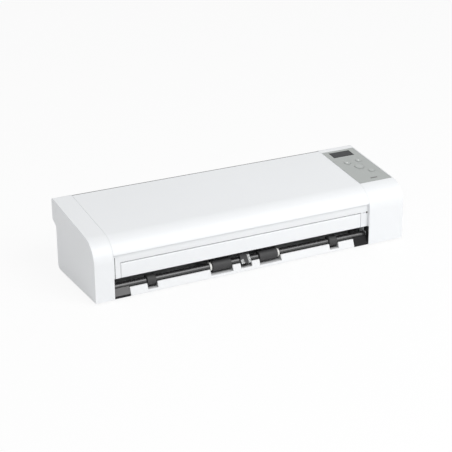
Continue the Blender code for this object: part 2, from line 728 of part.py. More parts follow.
def make_exit_axle():
    """Driven exit shaft with its rubber rollers and bushes, lying in two open bearing blocks."""
    axle_black = finish("exit_shaft", DARK, 0.3)
    rubber = finish("exit_rollers", RUBBER, 0.8)
    white = finish("exit_bushes", WHITE, 0.4)
    left = OPEN_LEFT + 2 * GAP
    right = OPEN_RIGHT - 2 * GAP
    axis = (SLOT_X, EXIT_Y, EXIT_Z)
    shaft = rod("exit_shaft", (left, EXIT_Y, EXIT_Z), (right, EXIT_Y, EXIT_Z), EXIT_SHAFT_R, axle_black)
    join(shaft, rod("exit_neck", (right - WALL, EXIT_Y, EXIT_Z), (GEAR_END, EXIT_Y, EXIT_Z), EXIT_NECK_R,
                    steps=SMALL_STEPS))
    pivot(shaft, axis)
    bore = circle(EXIT_Y, EXIT_Z, EXIT_SHAFT_R + FIT)
    for side, label in ((-1, "left"), (1, "right")):
        x = SLOT_X + side * EXIT_ROLLER_X
        half = EXIT_ROLLER_WIDTH / 2
        outer = circle(EXIT_Y, EXIT_Z, EXIT_ROLLER_R)
        pivot(prism("exit_roller_" + label, [outer, bore], x - half, x + half, rubber), axis)
        near = x + side * (half + GAP)
        ends = sorted((near, near + side * BUSH_WIDTH))
        outer = circle(EXIT_Y, EXIT_Z, BUSH_R)
        pivot(prism("exit_bush_" + label, [outer, bore], ends[0], ends[1], white), axis)
        x = SLOT_X + side * END_ROLLER_X
        half = END_ROLLER_WIDTH / 2
        outer = circle(EXIT_Y, EXIT_Z, END_ROLLER_R)
        pivot(prism("exit_end_roller_" + label, [outer, bore], x - half, x + half, rubber), axis)
    back = FRONT_Y + RECESS + BLOCK_DEPTH + FLAP_THICK / 2
    groove = EXIT_SHAFT_R + FIT
    toe = FRONT_Y + WALL
    body = [
        (ramp_front(), BOTTOM),
        (toe, BOTTOM),
        (toe, FLOOR_TOP + GAP),
        (back, FLOOR_TOP + GAP),
        (back, EXIT_Z),
    ]
    for step in range(SMALL_STEPS + 1):
        turn = math.pi * step / SMALL_STEPS
        body.append((EXIT_Y + groove * math.cos(turn), EXIT_Z - groove * math.sin(turn)))
    body.append((EXIT_Y - groove - BLOCK_RIM, EXIT_Z))
    for label, edge, inward, colour in (("left", OPEN_LEFT, 1, GREY), ("right", OPEN_RIGHT, -1, DARK)):
        ends = sorted((edge + inward * GAP, edge + inward * (GAP + BLOCK_WIDTH)))
        name = "bearing_block_" + label
        prism(name, [body], ends[0], ends[1], finish(name, colour, 0.5))


def make_pinch_rollers():
    """Fixed shaft above the exit rollers, with an idle pinch roller over each and the sensor flag."""
    rod("pinch_shaft", (OPEN_LEFT + GAP, PINCH_Y, PINCH_Z), (OPEN_RIGHT - GAP, PINCH_Y, PINCH_Z),
        PINCH_SHAFT_R, finish("pinch_shaft", STEEL, 0.3, 1.0), steps=SMALL_STEPS)
    plastic = finish("pinch_rollers", DARK, 0.4)
    bore = circle(PINCH_Y, PINCH_Z, PINCH_SHAFT_R + FIT, SMALL_STEPS)
    outer = circle(PINCH_Y, PINCH_Z, PINCH_ROLLER_R)
    for side, label in ((-1, "left"), (1, "right")):
        x = SLOT_X + side * EXIT_ROLLER_X
        half = EXIT_ROLLER_WIDTH / 2
        roller = prism("pinch_roller_" + label, [outer, bore], x - half, x + half, plastic)
        pivot(roller, (x, PINCH_Y, PINCH_Z))
    reach = Vector((FLAG_TIP_Y - PINCH_Y, FLAG_TIP_Z - PINCH_Z))
    along = reach.normalized()
    across = Vector((-along.y, along.x)) * FLAG_ARM / 2
    hub = Vector((PINCH_Y, PINCH_Z))
    open_angle = math.asin(FLAG_ARM / 2 / FLAG_HUB_R)
    middle = math.atan2(along.y, along.x)
    outline = []
    for step in range(SMALL_STEPS + 1):
        turn = middle + open_angle + (2 * math.pi - 2 * open_angle) * step / SMALL_STEPS
        outline.append(tuple(hub + Vector((math.cos(turn), math.sin(turn))) * FLAG_HUB_R))
    outline.append(tuple(hub + reach - across))
    outline.append(tuple(hub + reach + across))
    half = FLAG_WIDTH / 2
    flag = prism("exit_sensor_flag", [outline, bore], SLOT_X - half, SLOT_X + half,
                 finish("exit_sensor_flag", WHITE, 0.2))
    pivot(flag, (SLOT_X, PINCH_Y, PINCH_Z))


def make_feed_axle():
    """Driven feed shaft with two rubber rollers, and the separation pad above them."""
    axis = (SLOT_X, FEED_Y, FEED_Z)
    shaft = rod("feed_shaft", (OPEN_LEFT + GAP, FEED_Y, FEED_Z), (GEAR_END, FEED_Y, FEED_Z), FEED_SHAFT_R,
                finish("feed_shaft", STEEL, 0.3, 1.0))
    pivot(shaft, axis)
    rubber = finish("feed_rollers", RUBBER, 0.8)
    rings = [circle(FEED_Y, FEED_Z, FEED_ROLLER_R), circle(FEED_Y, FEED_Z, FEED_SHAFT_R + FIT)]
    for side, label in ((-1, "left"), (1, "right")):
        x = SLOT_X + side * FEED_ROLLER_X
        half = FEED_ROLLER_WIDTH / 2
        pivot(prism("feed_roller_" + label, rings, x - half, x + half, rubber), axis)
    touch = FEED_Y - FEED_ROLLER_R * math.sin(PATH_SLOPE)
    lift = FEED_Z + FEED_ROLLER_R * math.cos(PATH_SLOPE) - path_z(touch)
    low = lift * math.cos(PATH_SLOPE) + GAP
    high = low + PAD_THICK
    left = SLOT_X - PAD_WIDTH / 2
    right = SLOT_X + PAD_WIDTH / 2
    prism("separation_pad", [along_path(touch, low, high, PAD_LENGTH)], left, right,
          finish("separation_pad", RUBBER, 0.9))
    foot = along_path(touch, high + GAP, high + GAP + HOLDER_THICK, PAD_LENGTH + 2 * PAD_THICK)
    roof = [(y, cover_z(y) - GAP) for y in (foot[1][0], foot[0][0])]
    outline = [foot[0], foot[1]] + roof
    prism("pad_holder", [outline], left, right, finish("pad_holder", DARK, 0.5))


def cover_z(y):
    """Underside of the inner cover above a place y."""
    low_y, low_z, high_y, high_z = COVER_FRONT_Y, COVER_FRONT_Z, COVER_REAR_Y, COVER_REAR_Z
    return low_z + (y - low_y) * (high_z - low_z) / (high_y - low_y)


def make_paper_path():
    """Scan bars with their glass, the inner cover over them, the inlet deck and the paper guides."""
    bar = finish("scan_bars", DARK, 0.5)
    glass = finish("scan_glass", (0.5, 0.6, 0.6), 0.05)
    sealed = PATH_GAP + GLASS + GAP
    for name, y, side in (("lower_scan", LOWER_BAR_Y, -1), ("upper_scan", UPPER_BAR_Y, 1)):
        span = sorted((side * sealed, side * (sealed + BAR_HEIGHT)))
        prism(name + "_bar", [along_path(y, span[0], span[1], BAR_LENGTH)], INNER_LEFT, INNER_RIGHT, bar)
        span = sorted((side * PATH_GAP, side * (PATH_GAP + GLASS)))
        prism(name + "_glass", [along_path(y, span[0], span[1], BAR_LENGTH)], INNER_LEFT, INNER_RIGHT, glass)
    edge = FRONT_Y + RECESS + STRIP - COVER_LAP
    lower = [(edge, LID_EDGE_Z), (COVER_FRONT_Y, COVER_FRONT_Z), (COVER_REAR_Y, COVER_REAR_Z)]
    upper = [(y, z + COVER) for y, z in reversed(lower)]
    prism("inner_cover", [lower + upper], INNER_LEFT, INNER_RIGHT, finish("inner_cover", WHITE, 0.5))
    below = PATH_GAP / 2
    middle = (DECK_FRONT_Y + DECK_REAR_Y) / 2
    outline = along_path(middle, -below - DECK, -below, DECK_LENGTH)
    deck = prism("inlet_deck", [outline], INNER_LEFT, INNER_RIGHT, finish("inlet_deck", WHITE, 0.5))
    half = FEED_ROLLER_WIDTH / 2 + ROLLER_WINDOW
    for x in (SLOT_X - FEED_ROLLER_X, SLOT_X + FEED_ROLLER_X):
        cut(deck, prism("roller_window", [circle(FEED_Y, FEED_Z, FEED_ROLLER_R + ROLLER_WINDOW)],
                        x - half, x + half))
    middle = DECK_REAR_Y - (GUIDE_END_GAP + GUIDE_LENGTH / 2) * math.cos(PATH_SLOPE)
    floor = GAP - below
    for side, label in ((-1, "left"), (1, "right")):
        name = "paper_guide_" + label
        x = SLOT_X + side * GUIDE_X
        ends = sorted((x, x + side * GUIDE_FOOT))
        guide = prism(name, [along_path(middle, floor, floor + GUIDE_THICK / 2, GUIDE_LENGTH)],
                      ends[0], ends[1], finish(name, GREY, 0.5))
        ends = sorted((x, x + side * GUIDE_THICK))
        fin = along_path(middle, floor, floor + GUIDE_HEIGHT, GUIDE_LENGTH - GAP)
        join(guide, prism(name + "_fin", [fin], ends[0], ends[1]))
        pivot(guide, (x, middle, path_z(middle)))


def make_frame_plates():
    """Steel plates at the two cheeks, which carry the shafts, the scan bars, the cover and the deck."""
    shelf = EXIT_Z + SHAFT_ROOM
    block_back = FRONT_Y + RECESS + FLAP_THICK / 2 + BLOCK_DEPTH + GAP
    front = FRONT_Y + RECESS + TAB_DEPTH + GAP
    outline = [
        (block_back, FLOOR_TOP + GAP),
        (PLATE_REAR_Y, FLOOR_TOP + GAP),
        (PLATE_REAR_Y, STEP_Z),
        (DECK_REAR_Y, PLATE_TOP),
        (COVER_REAR_Y, PLATE_TOP),
        (front, cover_z(front) + COVER),
        (front, shelf),
        (block_back, shelf),
    ]
    holes = [
        circle(FEED_Y, FEED_Z, FEED_SHAFT_R + FIT),
        circle(PINCH_Y, PINCH_Z, PINCH_SHAFT_R + FIT, SMALL_STEPS),
    ]
    steel = finish("frame_plates", STEEL, 0.35, 1.0)
    left = OPEN_LEFT + GAP
    right = OPEN_RIGHT - GAP
    prism("frame_plate_left", [outline] + holes, left, left + PLATE, steel)
    prism("frame_plate_right", [outline] + holes, right - PLATE, right, steel)


def pitch_radius(teeth):
    """Pitch radius of a gear of the train."""
    return MODULE * teeth / 2


def next_centre(centre, teeth, next_teeth, angle):
    """Centre of a gear that meshes with the one at centre, in the direction of the angle."""
    reach = pitch_radius(teeth) + pitch_radius(next_teeth) + MESH_SLACK
    return Vector(centre) + reach * Vector((math.cos(angle), math.sin(angle)))


def between(first, first_teeth, last, last_teeth, teeth, side):
    """Centre of an idler that meshes with two gears; side picks which of the two places."""
    start = Vector(first)
    line = Vector(last) - start
    near = pitch_radius(first_teeth) + pitch_radius(teeth) + MESH_SLACK
    far = pitch_radius(last_teeth) + pitch_radius(teeth) + MESH_SLACK
    along = (near ** 2 - far ** 2 + line.length_squared) / (2 * line.length)
    off = math.sqrt(near ** 2 - along ** 2)
    run = line.normalized()
    return start + run * along + Vector((-run.y, run.x)) * off * side


def meshed_phase(centre, teeth, phase, next_centre, next_teeth):
    """Angle of a tooth of the next gear so that its gap faces a tooth of this one."""
    line = Vector(next_centre) - Vector(centre)
    toward = math.atan2(line.y, line.x)
    share = (toward - phase) * teeth / (2 * math.pi)
    return toward + math.pi - (0.5 - share) * 2 * math.pi / next_teeth


def gear_outline(centre, teeth, phase):
    """Outline of a spur gear with straight-sided teeth."""
    pitch = pitch_radius(teeth)
    tip = pitch + MODULE
    root = pitch - ROOT_SHARE * MODULE
    lean = math.tan(PRESSURE_ANGLE)
    thick = math.pi * MODULE / 2 - BACKLASH
    tip_half = (thick / 2 - MODULE * lean) / tip
    root_half = (thick / 2 + ROOT_SHARE * MODULE * lean) / root
    points = []
    for tooth in range(teeth):
        turn = phase + 2 * math.pi * tooth / teeth
        for radius, offset in ((root, -root_half), (tip, -tip_half), (tip, tip_half), (root, root_half)):
            angle = turn + offset
            points.append((centre[0] + radius * math.cos(angle), centre[1] + radius * math.sin(angle)))
    return points


def make_gear(name, centre, teeth, phase, bore):
    """One gear of the train, on its shaft or stud."""
    hole = circle(centre[0], centre[1], bore, SMALL_STEPS)
    gear = prism(name, [gear_outline(centre, teeth, phase), hole], GEAR_X, GEAR_END, finish(name, WHITE, 0.4))
    pivot(gear, (GEAR_X, centre[0], centre[1]))


def make_drive():
    """Motor, its pinion, two idlers and the gears of the exit and feed shafts, on one steel plate."""
    exit_axis = (EXIT_Y, EXIT_Z)
    feed_axis = (FEED_Y, FEED_Z)
    front = next_centre(exit_axis, EXIT_TEETH, FRONT_IDLER_TEETH, FRONT_IDLER_ANGLE)
    motor = next_centre(front, FRONT_IDLER_TEETH, PINION_TEETH, MOTOR_ANGLE)
    rear = between(motor, PINION_TEETH, feed_axis, FEED_TEETH, REAR_IDLER_TEETH, -1)
    front_phase = meshed_phase(motor, PINION_TEETH, 0, front, FRONT_IDLER_TEETH)
    rear_phase = meshed_phase(motor, PINION_TEETH, 0, rear, REAR_IDLER_TEETH)
    exit_phase = meshed_phase(front, FRONT_IDLER_TEETH, front_phase, exit_axis, EXIT_TEETH)
    feed_phase = meshed_phase(rear, REAR_IDLER_TEETH, rear_phase, feed_axis, FEED_TEETH)
    make_gear("front_idler_gear", front, FRONT_IDLER_TEETH, front_phase, STUD_R + FIT)
    make_gear("rear_idler_gear", rear, REAR_IDLER_TEETH, rear_phase, STUD_R + FIT)
    make_gear("exit_gear", exit_axis, EXIT_TEETH, exit_phase, EXIT_NECK_R + FIT)
    make_gear("feed_gear", feed_axis, FEED_TEETH, feed_phase, FEED_SHAFT_R + FIT)
    print("gear centres", [tuple(round(v, 6) for v in place) for place in (front, rear, motor)])
    motor_front = GEAR_PLATE_X + PLATE + GAP
    pinion = prism("motor_pinion", [gear_outline(motor, PINION_TEETH, 0)], GEAR_X, GEAR_END,
                   finish("motor_pinion", (0.6, 0.5, 0.25), 0.35, 1.0))
    join(pinion, rod("motor_spindle", (GEAR_END - GEAR_WIDTH / 2, *motor), (motor_front + GEAR_WIDTH, *motor),
                     MOTOR_SHAFT_R, steps=SMALL_STEPS))
    pivot(pinion, (GEAR_X, *motor))
    plate_front = FRONT_Y + GEAR_PLATE_FRONT_SETBACK
    plate_rear = FRONT_Y + GEAR_PLATE_REAR_SETBACK
    plate_outline = rectangle(plate_front, plate_rear, FLOOR_TOP + GAP, GEAR_PLATE_TOP)
    hole = circle(*motor, MOTOR_SHAFT_R + GAP, SMALL_STEPS)
    plate = prism("gear_plate", [plate_outline, hole], GEAR_PLATE_X, GEAR_PLATE_X + PLATE,
                  finish("gear_plate", STEEL, 0.35, 1.0))
    for place in (front, rear):
        join(plate, rod("stud", (OPEN_RIGHT + WALL + GAP, *place), (GEAR_PLATE_X + PLATE / 2, *place), STUD_R,
                        steps=SMALL_STEPS))
    body = rod("drive_motor", (motor_front, *motor), (motor_front + MOTOR_LENGTH, *motor), MOTOR_R,
               finish("drive_motor", STEEL, 0.4, 1.0))
    cut(body, rod("spindle_hole", (motor_front - GAP, *motor), (motor_front + GEAR_WIDTH + GAP, *motor),
                  MOTOR_SHAFT_R + FIT, steps=SMALL_STEPS))


def make_boards():
    """Main board on its bosses, with the data and power sockets in the rear wall."""
    low_z = FLOOR_TOP + BOSS_HEIGHT + GAP
    low = (BOARD_LEFT_X, BOARD_FRONT_Y, low_z)
    high = (BOARD_RIGHT_X, LOWER_REAR_Y - WALL - GAP, low_z + BOARD)
    box("main_board", low, high, finish("main_board", GREEN, 0.5))
    usb = socket_block("usb_socket", USB_X, USB_WIDTH, USB_HEIGHT, 0, finish("usb_socket", STEEL, 0.3, 1.0))
    cut(usb, socket_mouth("usb_mouth", USB_X, USB_WIDTH, USB_HEIGHT))
    power = socket_block("power_socket", POWER_X, POWER_WIDTH, POWER_HEIGHT, 0,
                         finish("power_socket", DARK, 0.4))
    middle = FLOOR_TOP + BOSS_HEIGHT + BOARD + 2 * GAP + POWER_HEIGHT / 2
    rear = LOWER_REAR_Y - FIT
    deep = (POWER_X, rear - SOCKET_LENGTH + WALL, middle)
    cut(power, rod("power_mouth", deep, (POWER_X, rear + WALL, middle), POWER_HOLE_R, axis="Y"))


def socket_mouth(name, x, width, height):
    """Hollow of a flat socket, open to the rear."""
    wall = 2 * GAP
    low_z = FLOOR_TOP + BOSS_HEIGHT + BOARD + 2 * GAP
    rear = LOWER_REAR_Y - FIT
    low = (x - width / 2 + wall, rear - SOCKET_LENGTH + WALL, low_z + wall)
    high = (x + width / 2 - wall, rear + WALL, low_z + height - wall)
    return box(name, low, high)


def stepped(solid, base, steps):
    """Add one closed stepped cylinder to a mesh, from a base point up through (radius, height) steps."""
    x, y, z = base
    radius, height = steps[0]
    place = Matrix.Translation((x, y, z + height / 2))
    bmesh.ops.create_cone(solid, cap_ends=True, segments=SMALL_STEPS, radius1=radius, radius2=radius,
                          depth=height, matrix=place)
    top = z + height
    flat = math.cos(math.pi / SMALL_STEPS)
    for next_radius, next_height in steps[1:]:
        centre = Vector((x, y, top))
        cap = min(solid.faces, key=lambda face: (face.calc_center_median() - centre).length)
        bmesh.ops.inset_individual(solid, faces=[cap], thickness=(radius - next_radius) * flat)
        grown = bmesh.ops.extrude_face_region(solid, geom=[cap])
        bmesh.ops.delete(solid, geom=[cap], context="FACES_ONLY")
        moved = [item for item in grown["geom"] if isinstance(item, bmesh.types.BMVert)]
        bmesh.ops.translate(solid, vec=(0, 0, next_height), verts=moved)
        radius = next_radius
        top += next_height


def stepped_piece(name, base, steps, material):
    """One stepped cylinder that stands on a base point."""
    solid = bmesh.new()
    stepped(solid, base, steps)
    mesh = bpy.data.meshes.new(name)
    solid.to_mesh(mesh)
    solid.free()
    return mesh_object(name, mesh, material)


def make_panel(frame):
    """Grey control plate with its display, buttons, lens and board."""
    plate = panel_block("panel_plate", frame, GAP, -PANEL_THICK, 0, finish("panel_plate", GREY, 0.45))
    half = (DISPLAY_WIDTH / 2, DISPLAY_LENGTH / 2)
    middle = (DISPLAY_X, panel_v(DISPLAY_Y))
    lens_half = (LENS_WIDTH / 2, LENS_LENGTH / 2)
    lens_middle = (LENS_X, panel_v(LENS_Y))
    cut(plate, flat_block("display_hole", frame, middle, half, GAP, -BEYOND, BEYOND))
    cut(plate, flat_block("lens_hole", frame, lens_middle, lens_half, GAP, -BEYOND, BEYOND))
    flat_block("display_window", frame, middle, half, 0, -PANEL_THICK, 0, finish("display_window", DARK, 0.1))
    flat_block("status_lens", frame, lens_middle, lens_half, 0, -PANEL_THICK, 0,
               finish("status_lens", (0.1, 0.1, 0.1), 0.2))
    under = -PANEL_THICK - GAP
    flat_block("display_module", frame, middle, half, MODULE_MARGIN, under - MODULE_THICK, under,
               finish("display_module", DARK, 0.3))
    grey = finish("buttons", (0.5, 0.52, 0.51), 0.4)
    for name, (inset, below, radius) in BUTTONS.items():
        x = RIGHT_X - inset
        y = PANEL_REAR_Y - below
        hole = rod(name + "_hole", (x, panel_v(y), -BEYOND), (x, panel_v(y), BEYOND), radius + GAP, axis="Z",
                   steps=SMALL_STEPS)
        cut(plate, on_panel(hole, frame))
        steps = [(radius + BUTTON_FLANGE, BUTTON_FLANGE_THICK), (radius, -under + BUTTON_PROUD)]
        base = (0, 0, under - BUTTON_FLANGE_THICK)
        button = on_panel(stepped_piece(name, base, steps, grey), frame)
        button.location = (x, panel_v(y), 0)
    board_top = under - BUTTON_FLANGE_THICK - BUTTON_TRAVEL - GAP
    panel_block("panel_board", frame, PANEL_BOARD_MARGIN, board_top - BOARD, board_top,
                finish("panel_board", GREEN, 0.5))


def flat_block(name, frame, middle, half, margin, low, high, material=None):
    """A block on the panel frame, about a middle point, between two depths."""
    first = (middle[0] - half[0] - margin, middle[1] - half[1] - margin, low)
    last = (middle[0] + half[0] + margin, middle[1] + half[1] + margin, high)
    return on_panel(box(name, first, last, material), frame)


def make_feet_and_screws():
    """Rubber feet under the floor pan, and the screws that hold it to the case."""
    rubber = finish("rubber_feet", RUBBER, 0.9)
    steel = finish("case_screws", STEEL, 0.3, 1.0)
    steps = [(SCREW_HEAD_R, FLOOR - GAP), (SCREW_R, SCREW_LENGTH)]
    for (x, y), label in zip(screw_places(), ("left", "right")):
        stepped_piece("case_screw_" + label, (x, y, BOTTOM + GAP), steps, steel)
    for side, label in ((-1, "left"), (1, "right")):
        for y, end in ((FOOT_FRONT_Y, "front"), (FOOT_REAR_Y, "rear")):
            stepped_piece("foot_" + end + "_" + label, (side * FOOT_X, y, 0), [(FOOT_R, FOOT_HEIGHT - GAP)],
                          rubber)


def main():
    """Model the scanner."""
    start_collections()
    frame = bpy.data.objects.new("panel_frame", None)
    PARTS.objects.link(frame)
    frame.location = (0, 0, top_z(0))
    frame.rotation_euler = (TOP_SLOPE, 0, 0)
    make_upper_shell(frame)
    make_base_shell()
    make_exit_ramp()
    make_lid()
    make_flap()
    make_exit_axle()
    make_pinch_rollers()
    make_feed_axle()
    make_paper_path()
    make_frame_plates()
    make_drive()
    make_boards()
    make_panel(frame)
    make_feet_and_screws()
    bpy.context.view_layer.update()


main()
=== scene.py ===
"""Looks of the sheet-fed document scanner: softened mouldings, turned rollers, finishes and the studio."""

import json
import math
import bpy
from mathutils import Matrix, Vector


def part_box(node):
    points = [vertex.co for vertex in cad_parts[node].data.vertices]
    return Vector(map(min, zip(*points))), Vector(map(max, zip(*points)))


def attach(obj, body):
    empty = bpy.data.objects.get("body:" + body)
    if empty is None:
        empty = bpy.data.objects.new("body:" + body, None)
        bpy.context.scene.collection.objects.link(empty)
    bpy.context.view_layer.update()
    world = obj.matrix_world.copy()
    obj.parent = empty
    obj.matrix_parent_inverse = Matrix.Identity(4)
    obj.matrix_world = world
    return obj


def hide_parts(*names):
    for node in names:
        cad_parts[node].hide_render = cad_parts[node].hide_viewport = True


bl_info = {
    "name": "Sheet-fed Scanner Looks",
    "version": (1, 0, 0),
    "blender": (4, 5, 0),
    "location": "View3D > Sidebar > Scanner",
    "description": "Dresses the packed document scanner with finished pieces, materials and a plain studio",
    "category": "Object",
}

import bmesh
import bpy
from bpy.props import FloatProperty, FloatVectorProperty, IntProperty, PointerProperty
from bpy.types import Operator, Panel, PropertyGroup
from mathutils import Matrix, Vector
from mathutils.bvhtree import BVHTree

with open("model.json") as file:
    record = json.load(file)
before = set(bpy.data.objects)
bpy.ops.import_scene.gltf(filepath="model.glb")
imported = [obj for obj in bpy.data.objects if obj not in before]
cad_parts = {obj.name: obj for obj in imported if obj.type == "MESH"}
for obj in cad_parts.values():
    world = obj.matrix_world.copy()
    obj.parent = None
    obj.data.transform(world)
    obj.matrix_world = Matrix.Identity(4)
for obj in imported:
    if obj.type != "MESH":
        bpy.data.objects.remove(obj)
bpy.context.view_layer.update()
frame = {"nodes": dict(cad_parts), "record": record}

RECORD = frame["record"]
BODY_OF = {node: body for body, members in RECORD["behaviour"]["bodies"].items() for node in members}

MERGE = 1e-6
FLAT = math.radians(0.5)
SHARP = math.radians(58)
LEAST_WIDTHS = 3
EVEN_WEIGHT = 80
TURN_STEPS = 64
FREE_START = 0.00001
FACING_DOWN = -0.3
FACING_OUT = 0.99
SMALL_EDGE = 0.0001
SIDE_AXIS = Vector((1, 0, 0))
UP = Vector((0, 0, 1))
PANEL_TILT = math.radians(8)
PANEL_UP = Vector((0, -math.sin(PANEL_TILT), math.cos(PANEL_TILT)))
PANEL_BACK = Vector((0, math.cos(PANEL_TILT), math.sin(PANEL_TILT)))

# Finishes
SMUDGE_GLOSS = 0.07
SMUDGE_HAZE = 0.06
GLASS_SMUDGES = 120.0
WINDOW_SMUDGES = 160.0
GRAIN_DEPTH = 0.0001
FINE_DEPTH = 0.00005
STREAK_TONES = (0.85, 1.1)
STREAK_GLOSS = (-0.06, 0.08)
WINDOW_TONE = 1.25
WINDOW_GLOSS = (0.10, 0.18)
TRACK_SCALE = 220.0
TRACK_WIDTH = 0.06
TRACK_TONE = 2.2
TRACK_GLOSS = (0.45, 0.30)
TRACK_BUMP = 0.2

# Lid
LID_UNDERSIDE_Z = 0.0554
RIB_HALF = 0.0006
RIB_SET = 0.0004
RIB_FRONT_Y = -0.021
RIB_REAR_Y = 0.013
# Reach and facing of the painted shadow band along the lid's rear edge
REAR_SHADOW_REACH = 0.0045
REAR_SHADOW_UP = 0.95
LIP_CENTRE = (0.0, 0.035)
LIP_FRONT = math.radians(173)
LIP_REAR = math.radians(34.5)
LIP_STEPS = 70
LIP_CLEAR = 0.00006
LIP_DROP = 0.0002
LIP_DEPTH = 0.0014
LIP_WIDTH = 0.0004

# Exit slot
RAMP_FOOT = 0.001
RAMP_REACH = 0.0045
# Placing of the dark slabs painted as shadow of the gaps beside the flap
SEAM_RISE = 0.0004
SEAM_DEPTH = 0.0003
SEAM_FOOT = 0.0002
SEAM_TALL = 0.0055
SEAM_LEFT = (0.0015, 0.0020)
SEAM_RIGHT = (0.0052, 0.0024)
SEAM_HALF = 0.00012
PIVOT_R = 0.0009
# Dark sheets of painted shade on the exit slot's side walls
WALL_SHADE_GAP = 0.00005
WALL_SHADE_THICK = 0.0003
WALL_SHADE_BACK_Y = -0.038
SHAFT_R = 0.0030
BORE_GAP = 0.0002
# Height of the painted shadow band at the foot of the left bearing block
UNDER_SHADOW_HEIGHT = 0.0018
FLAG_CORE_HALF = 0.0019
FLAG_CLEAR_SHARE = 0.52
FLAG_LEFT_SHARE = 0.30
CORE_SWELL = 1.06

# Control panel
BORDER_REACH = 0.0006
RIM_SHARE = 0.18
DISH_SHARE = 0.22
DOT_R = 0.00075
RING_SHARE = 0.42
RING_WIDTH = 0.0003
RING_GAP = math.radians(32)
BAR_SHARES = (0.35, 1.25)
MARK_STEPS = 24

# Inside
PAPER_HALVES = (0.027, 0.0525, 0.074, 0.105)
MARK_Y = 0.0225
MARK_HALF = 0.0003
MARK_LENGTH = 0.006
CAP_SET = 0.0003
CAP_PROUD = 0.0008
CAP_SHARE = 0.86
BOSS_SHARE = 0.3
BOSS_BORE_SHARE = 0.1
TERMINAL = 0.0028
TERMINAL_SHARE = 0.55
TERMINAL_HALF = (0.0011, 0.0002)
SOCKET_DEPTH = 0.0095
TONGUE_SETBACK = 0.0012
TONGUE_INSET = 0.0018
TONGUE_HALF = 0.0003
CONTACTS = 5
CONTACT_PITCH = 0.0008
CONTACT_SETBACK = 0.0006
CONTACT_HALF = 0.00005
PIN_R = 0.0008
BOARD_SET = 0.0001
CHIPS = ((0.16, 0.45, 0.014, 0.014, 0.0016), (0.30, 0.40, 0.010, 0.010, 0.0014),
         (0.42, 0.65, 0.008, 0.005, 0.0014), (0.50, 0.30, 0.012, 0.006, 0.0016),
         (0.62, 0.35, 0.005, 0.004, 0.0012), (0.94, 0.40, 0.009, 0.009, 0.0030))
CONNECTORS = ((0.06, 0.25), (0.06, 0.70), (0.24, 0.80), (0.36, 0.82))
CONNECTOR = (0.010, 0.0044, 0.0042)
EAR = (0.0008, 0.0028, 0.003)
EAR_X = 0.0052
CAPACITORS = ((0.56, 0.75), (0.60, 0.75), (0.82, 0.30), (0.86, 0.30))
CAPACITOR_R = 0.0026
CAPACITOR_TALL = 0.006
CAPACITOR_RIM = 0.0005

# Underside
PLATE_LENGTH = 0.070
PLATE_WIDTH = 0.030
PLATE_THICK = 0.00015
PLATE_CORNER = 0.002
VENTS = 9
VENT_X = 0.078
VENT_PITCH = 0.004
VENT_LENGTH = 0.022
VENT_PROUD = 0.00003
VENT_DEPTH = 0.0005

# Stage
WHITE = (1, 1, 1, 1)
PALE = (0.9, 0.9, 0.9, 1)
FLOOR_SIZE = 4.0
FLOOR_ROUGHNESS = 0.9
LIGHT_AIM = (0, 0, 0.03)
KEY_PLACE = (0.5, -1.1, 1.1)
KEY_SIZE = 1.2
FILL_PLACE = (-1.2, -0.8, 0.9)
FILL_SIZE = 1.5
CAMERA_LENS = 106.05
CAMERA_SHIFT = (-0.0159, 0.0044)
CAMERA_TARGET = Vector((0.0003, -0.001, 0.0234))
CAMERA_YAW = math.radians(-27.962)
CAMERA_PITCH = math.radians(21.797)
CAMERA_ROLL = math.radians(-0.258)
CAMERA_DISTANCE = 1.1753


def colour(name, about, value):
    """A colour that the user may change."""
    return FloatVectorProperty(name=name, description=about, subtype="COLOR", size=3, min=0, max=1,
                               default=value)


def length(name, about, value):
    """A length that the user may change."""
    return FloatProperty(name=name, description=about, subtype="DISTANCE", unit="LENGTH", precision=5,
                         default=value)


class ScannerFinish(PropertyGroup):
    """Colours of the finishes."""

    case_white: colour("Case white", "Moulded plastic of the case, lid and flap", (0.80, 0.815, 0.83))
    inner_white: colour("Inner white", "Plastic of the ramp, deck and inner cover", (0.78, 0.79, 0.80))
    panel_grey: colour("Panel grey", "Plate of the control panel", (0.385, 0.405, 0.395))
    button_grey: colour("Button grey", "Caps of the buttons and paper guides", (0.40, 0.42, 0.41))
    print_light: colour("Print light", "Marks printed on the button caps", (0.80, 0.82, 0.81))
    block_grey: colour("Block grey", "Bearing block at the left end of the exit shaft", (0.12, 0.119, 0.12))
    shaft_dark: colour("Shaft dark", "Blackened exit shaft", (0.075, 0.075, 0.076))
    black_plastic: colour("Black plastic", "Holders and dark blocks", (0.028, 0.028, 0.030))
    rubber: colour("Roller rubber", "Rollers, pad and feet", (0.036, 0.036, 0.037))
    acetal: colour("Acetal white", "Gears and bushes", (0.76, 0.76, 0.73))
    steel: colour("Steel", "Plates, pins and feed shaft", (0.60, 0.61, 0.62))
    brass: colour("Brass", "Pinion and contacts", (0.62, 0.45, 0.19))
    board_green: colour("Board green", "Circuit boards", (0.02, 0.12, 0.06))
    window_dark: colour("Window dark", "Border of the display window", (0.012, 0.013, 0.014))
    display_dark: colour("Display dark", "Unlit face of the display behind its window", (0.024, 0.027, 0.029))
    lens_smoke: colour("Lens smoke", "Smoked status lens", (0.17, 0.17, 0.165))
    # Painted shadow: grey for the band along the lid's rear edge, where a gap behind the lid darkens it
    seal_grey: colour("Seal grey", "Band on the hinge barrel of the lid", (0.19, 0.19, 0.195))
    # Painted shade: the dark laid into gaps beside the flap, on the slot's side walls, under the left bearing
    # block and in the cooling slots
    joint_dark: colour("Joint dark", "Painted shade: gap lines, slot walls, the band under the left bearing block and cooling slots", (0.02, 0.02, 0.021))
    clear_flag: colour("Clear flag", "Clear plastic of the sensor flag", (0.72, 0.74, 0.74))
    bare_plate: colour("Bare plate", "Plate on the underside", (0.62, 0.63, 0.64))
    scan_glass: colour("Scan glass", "Glass of the scan bars", (0.86, 0.95, 0.93))


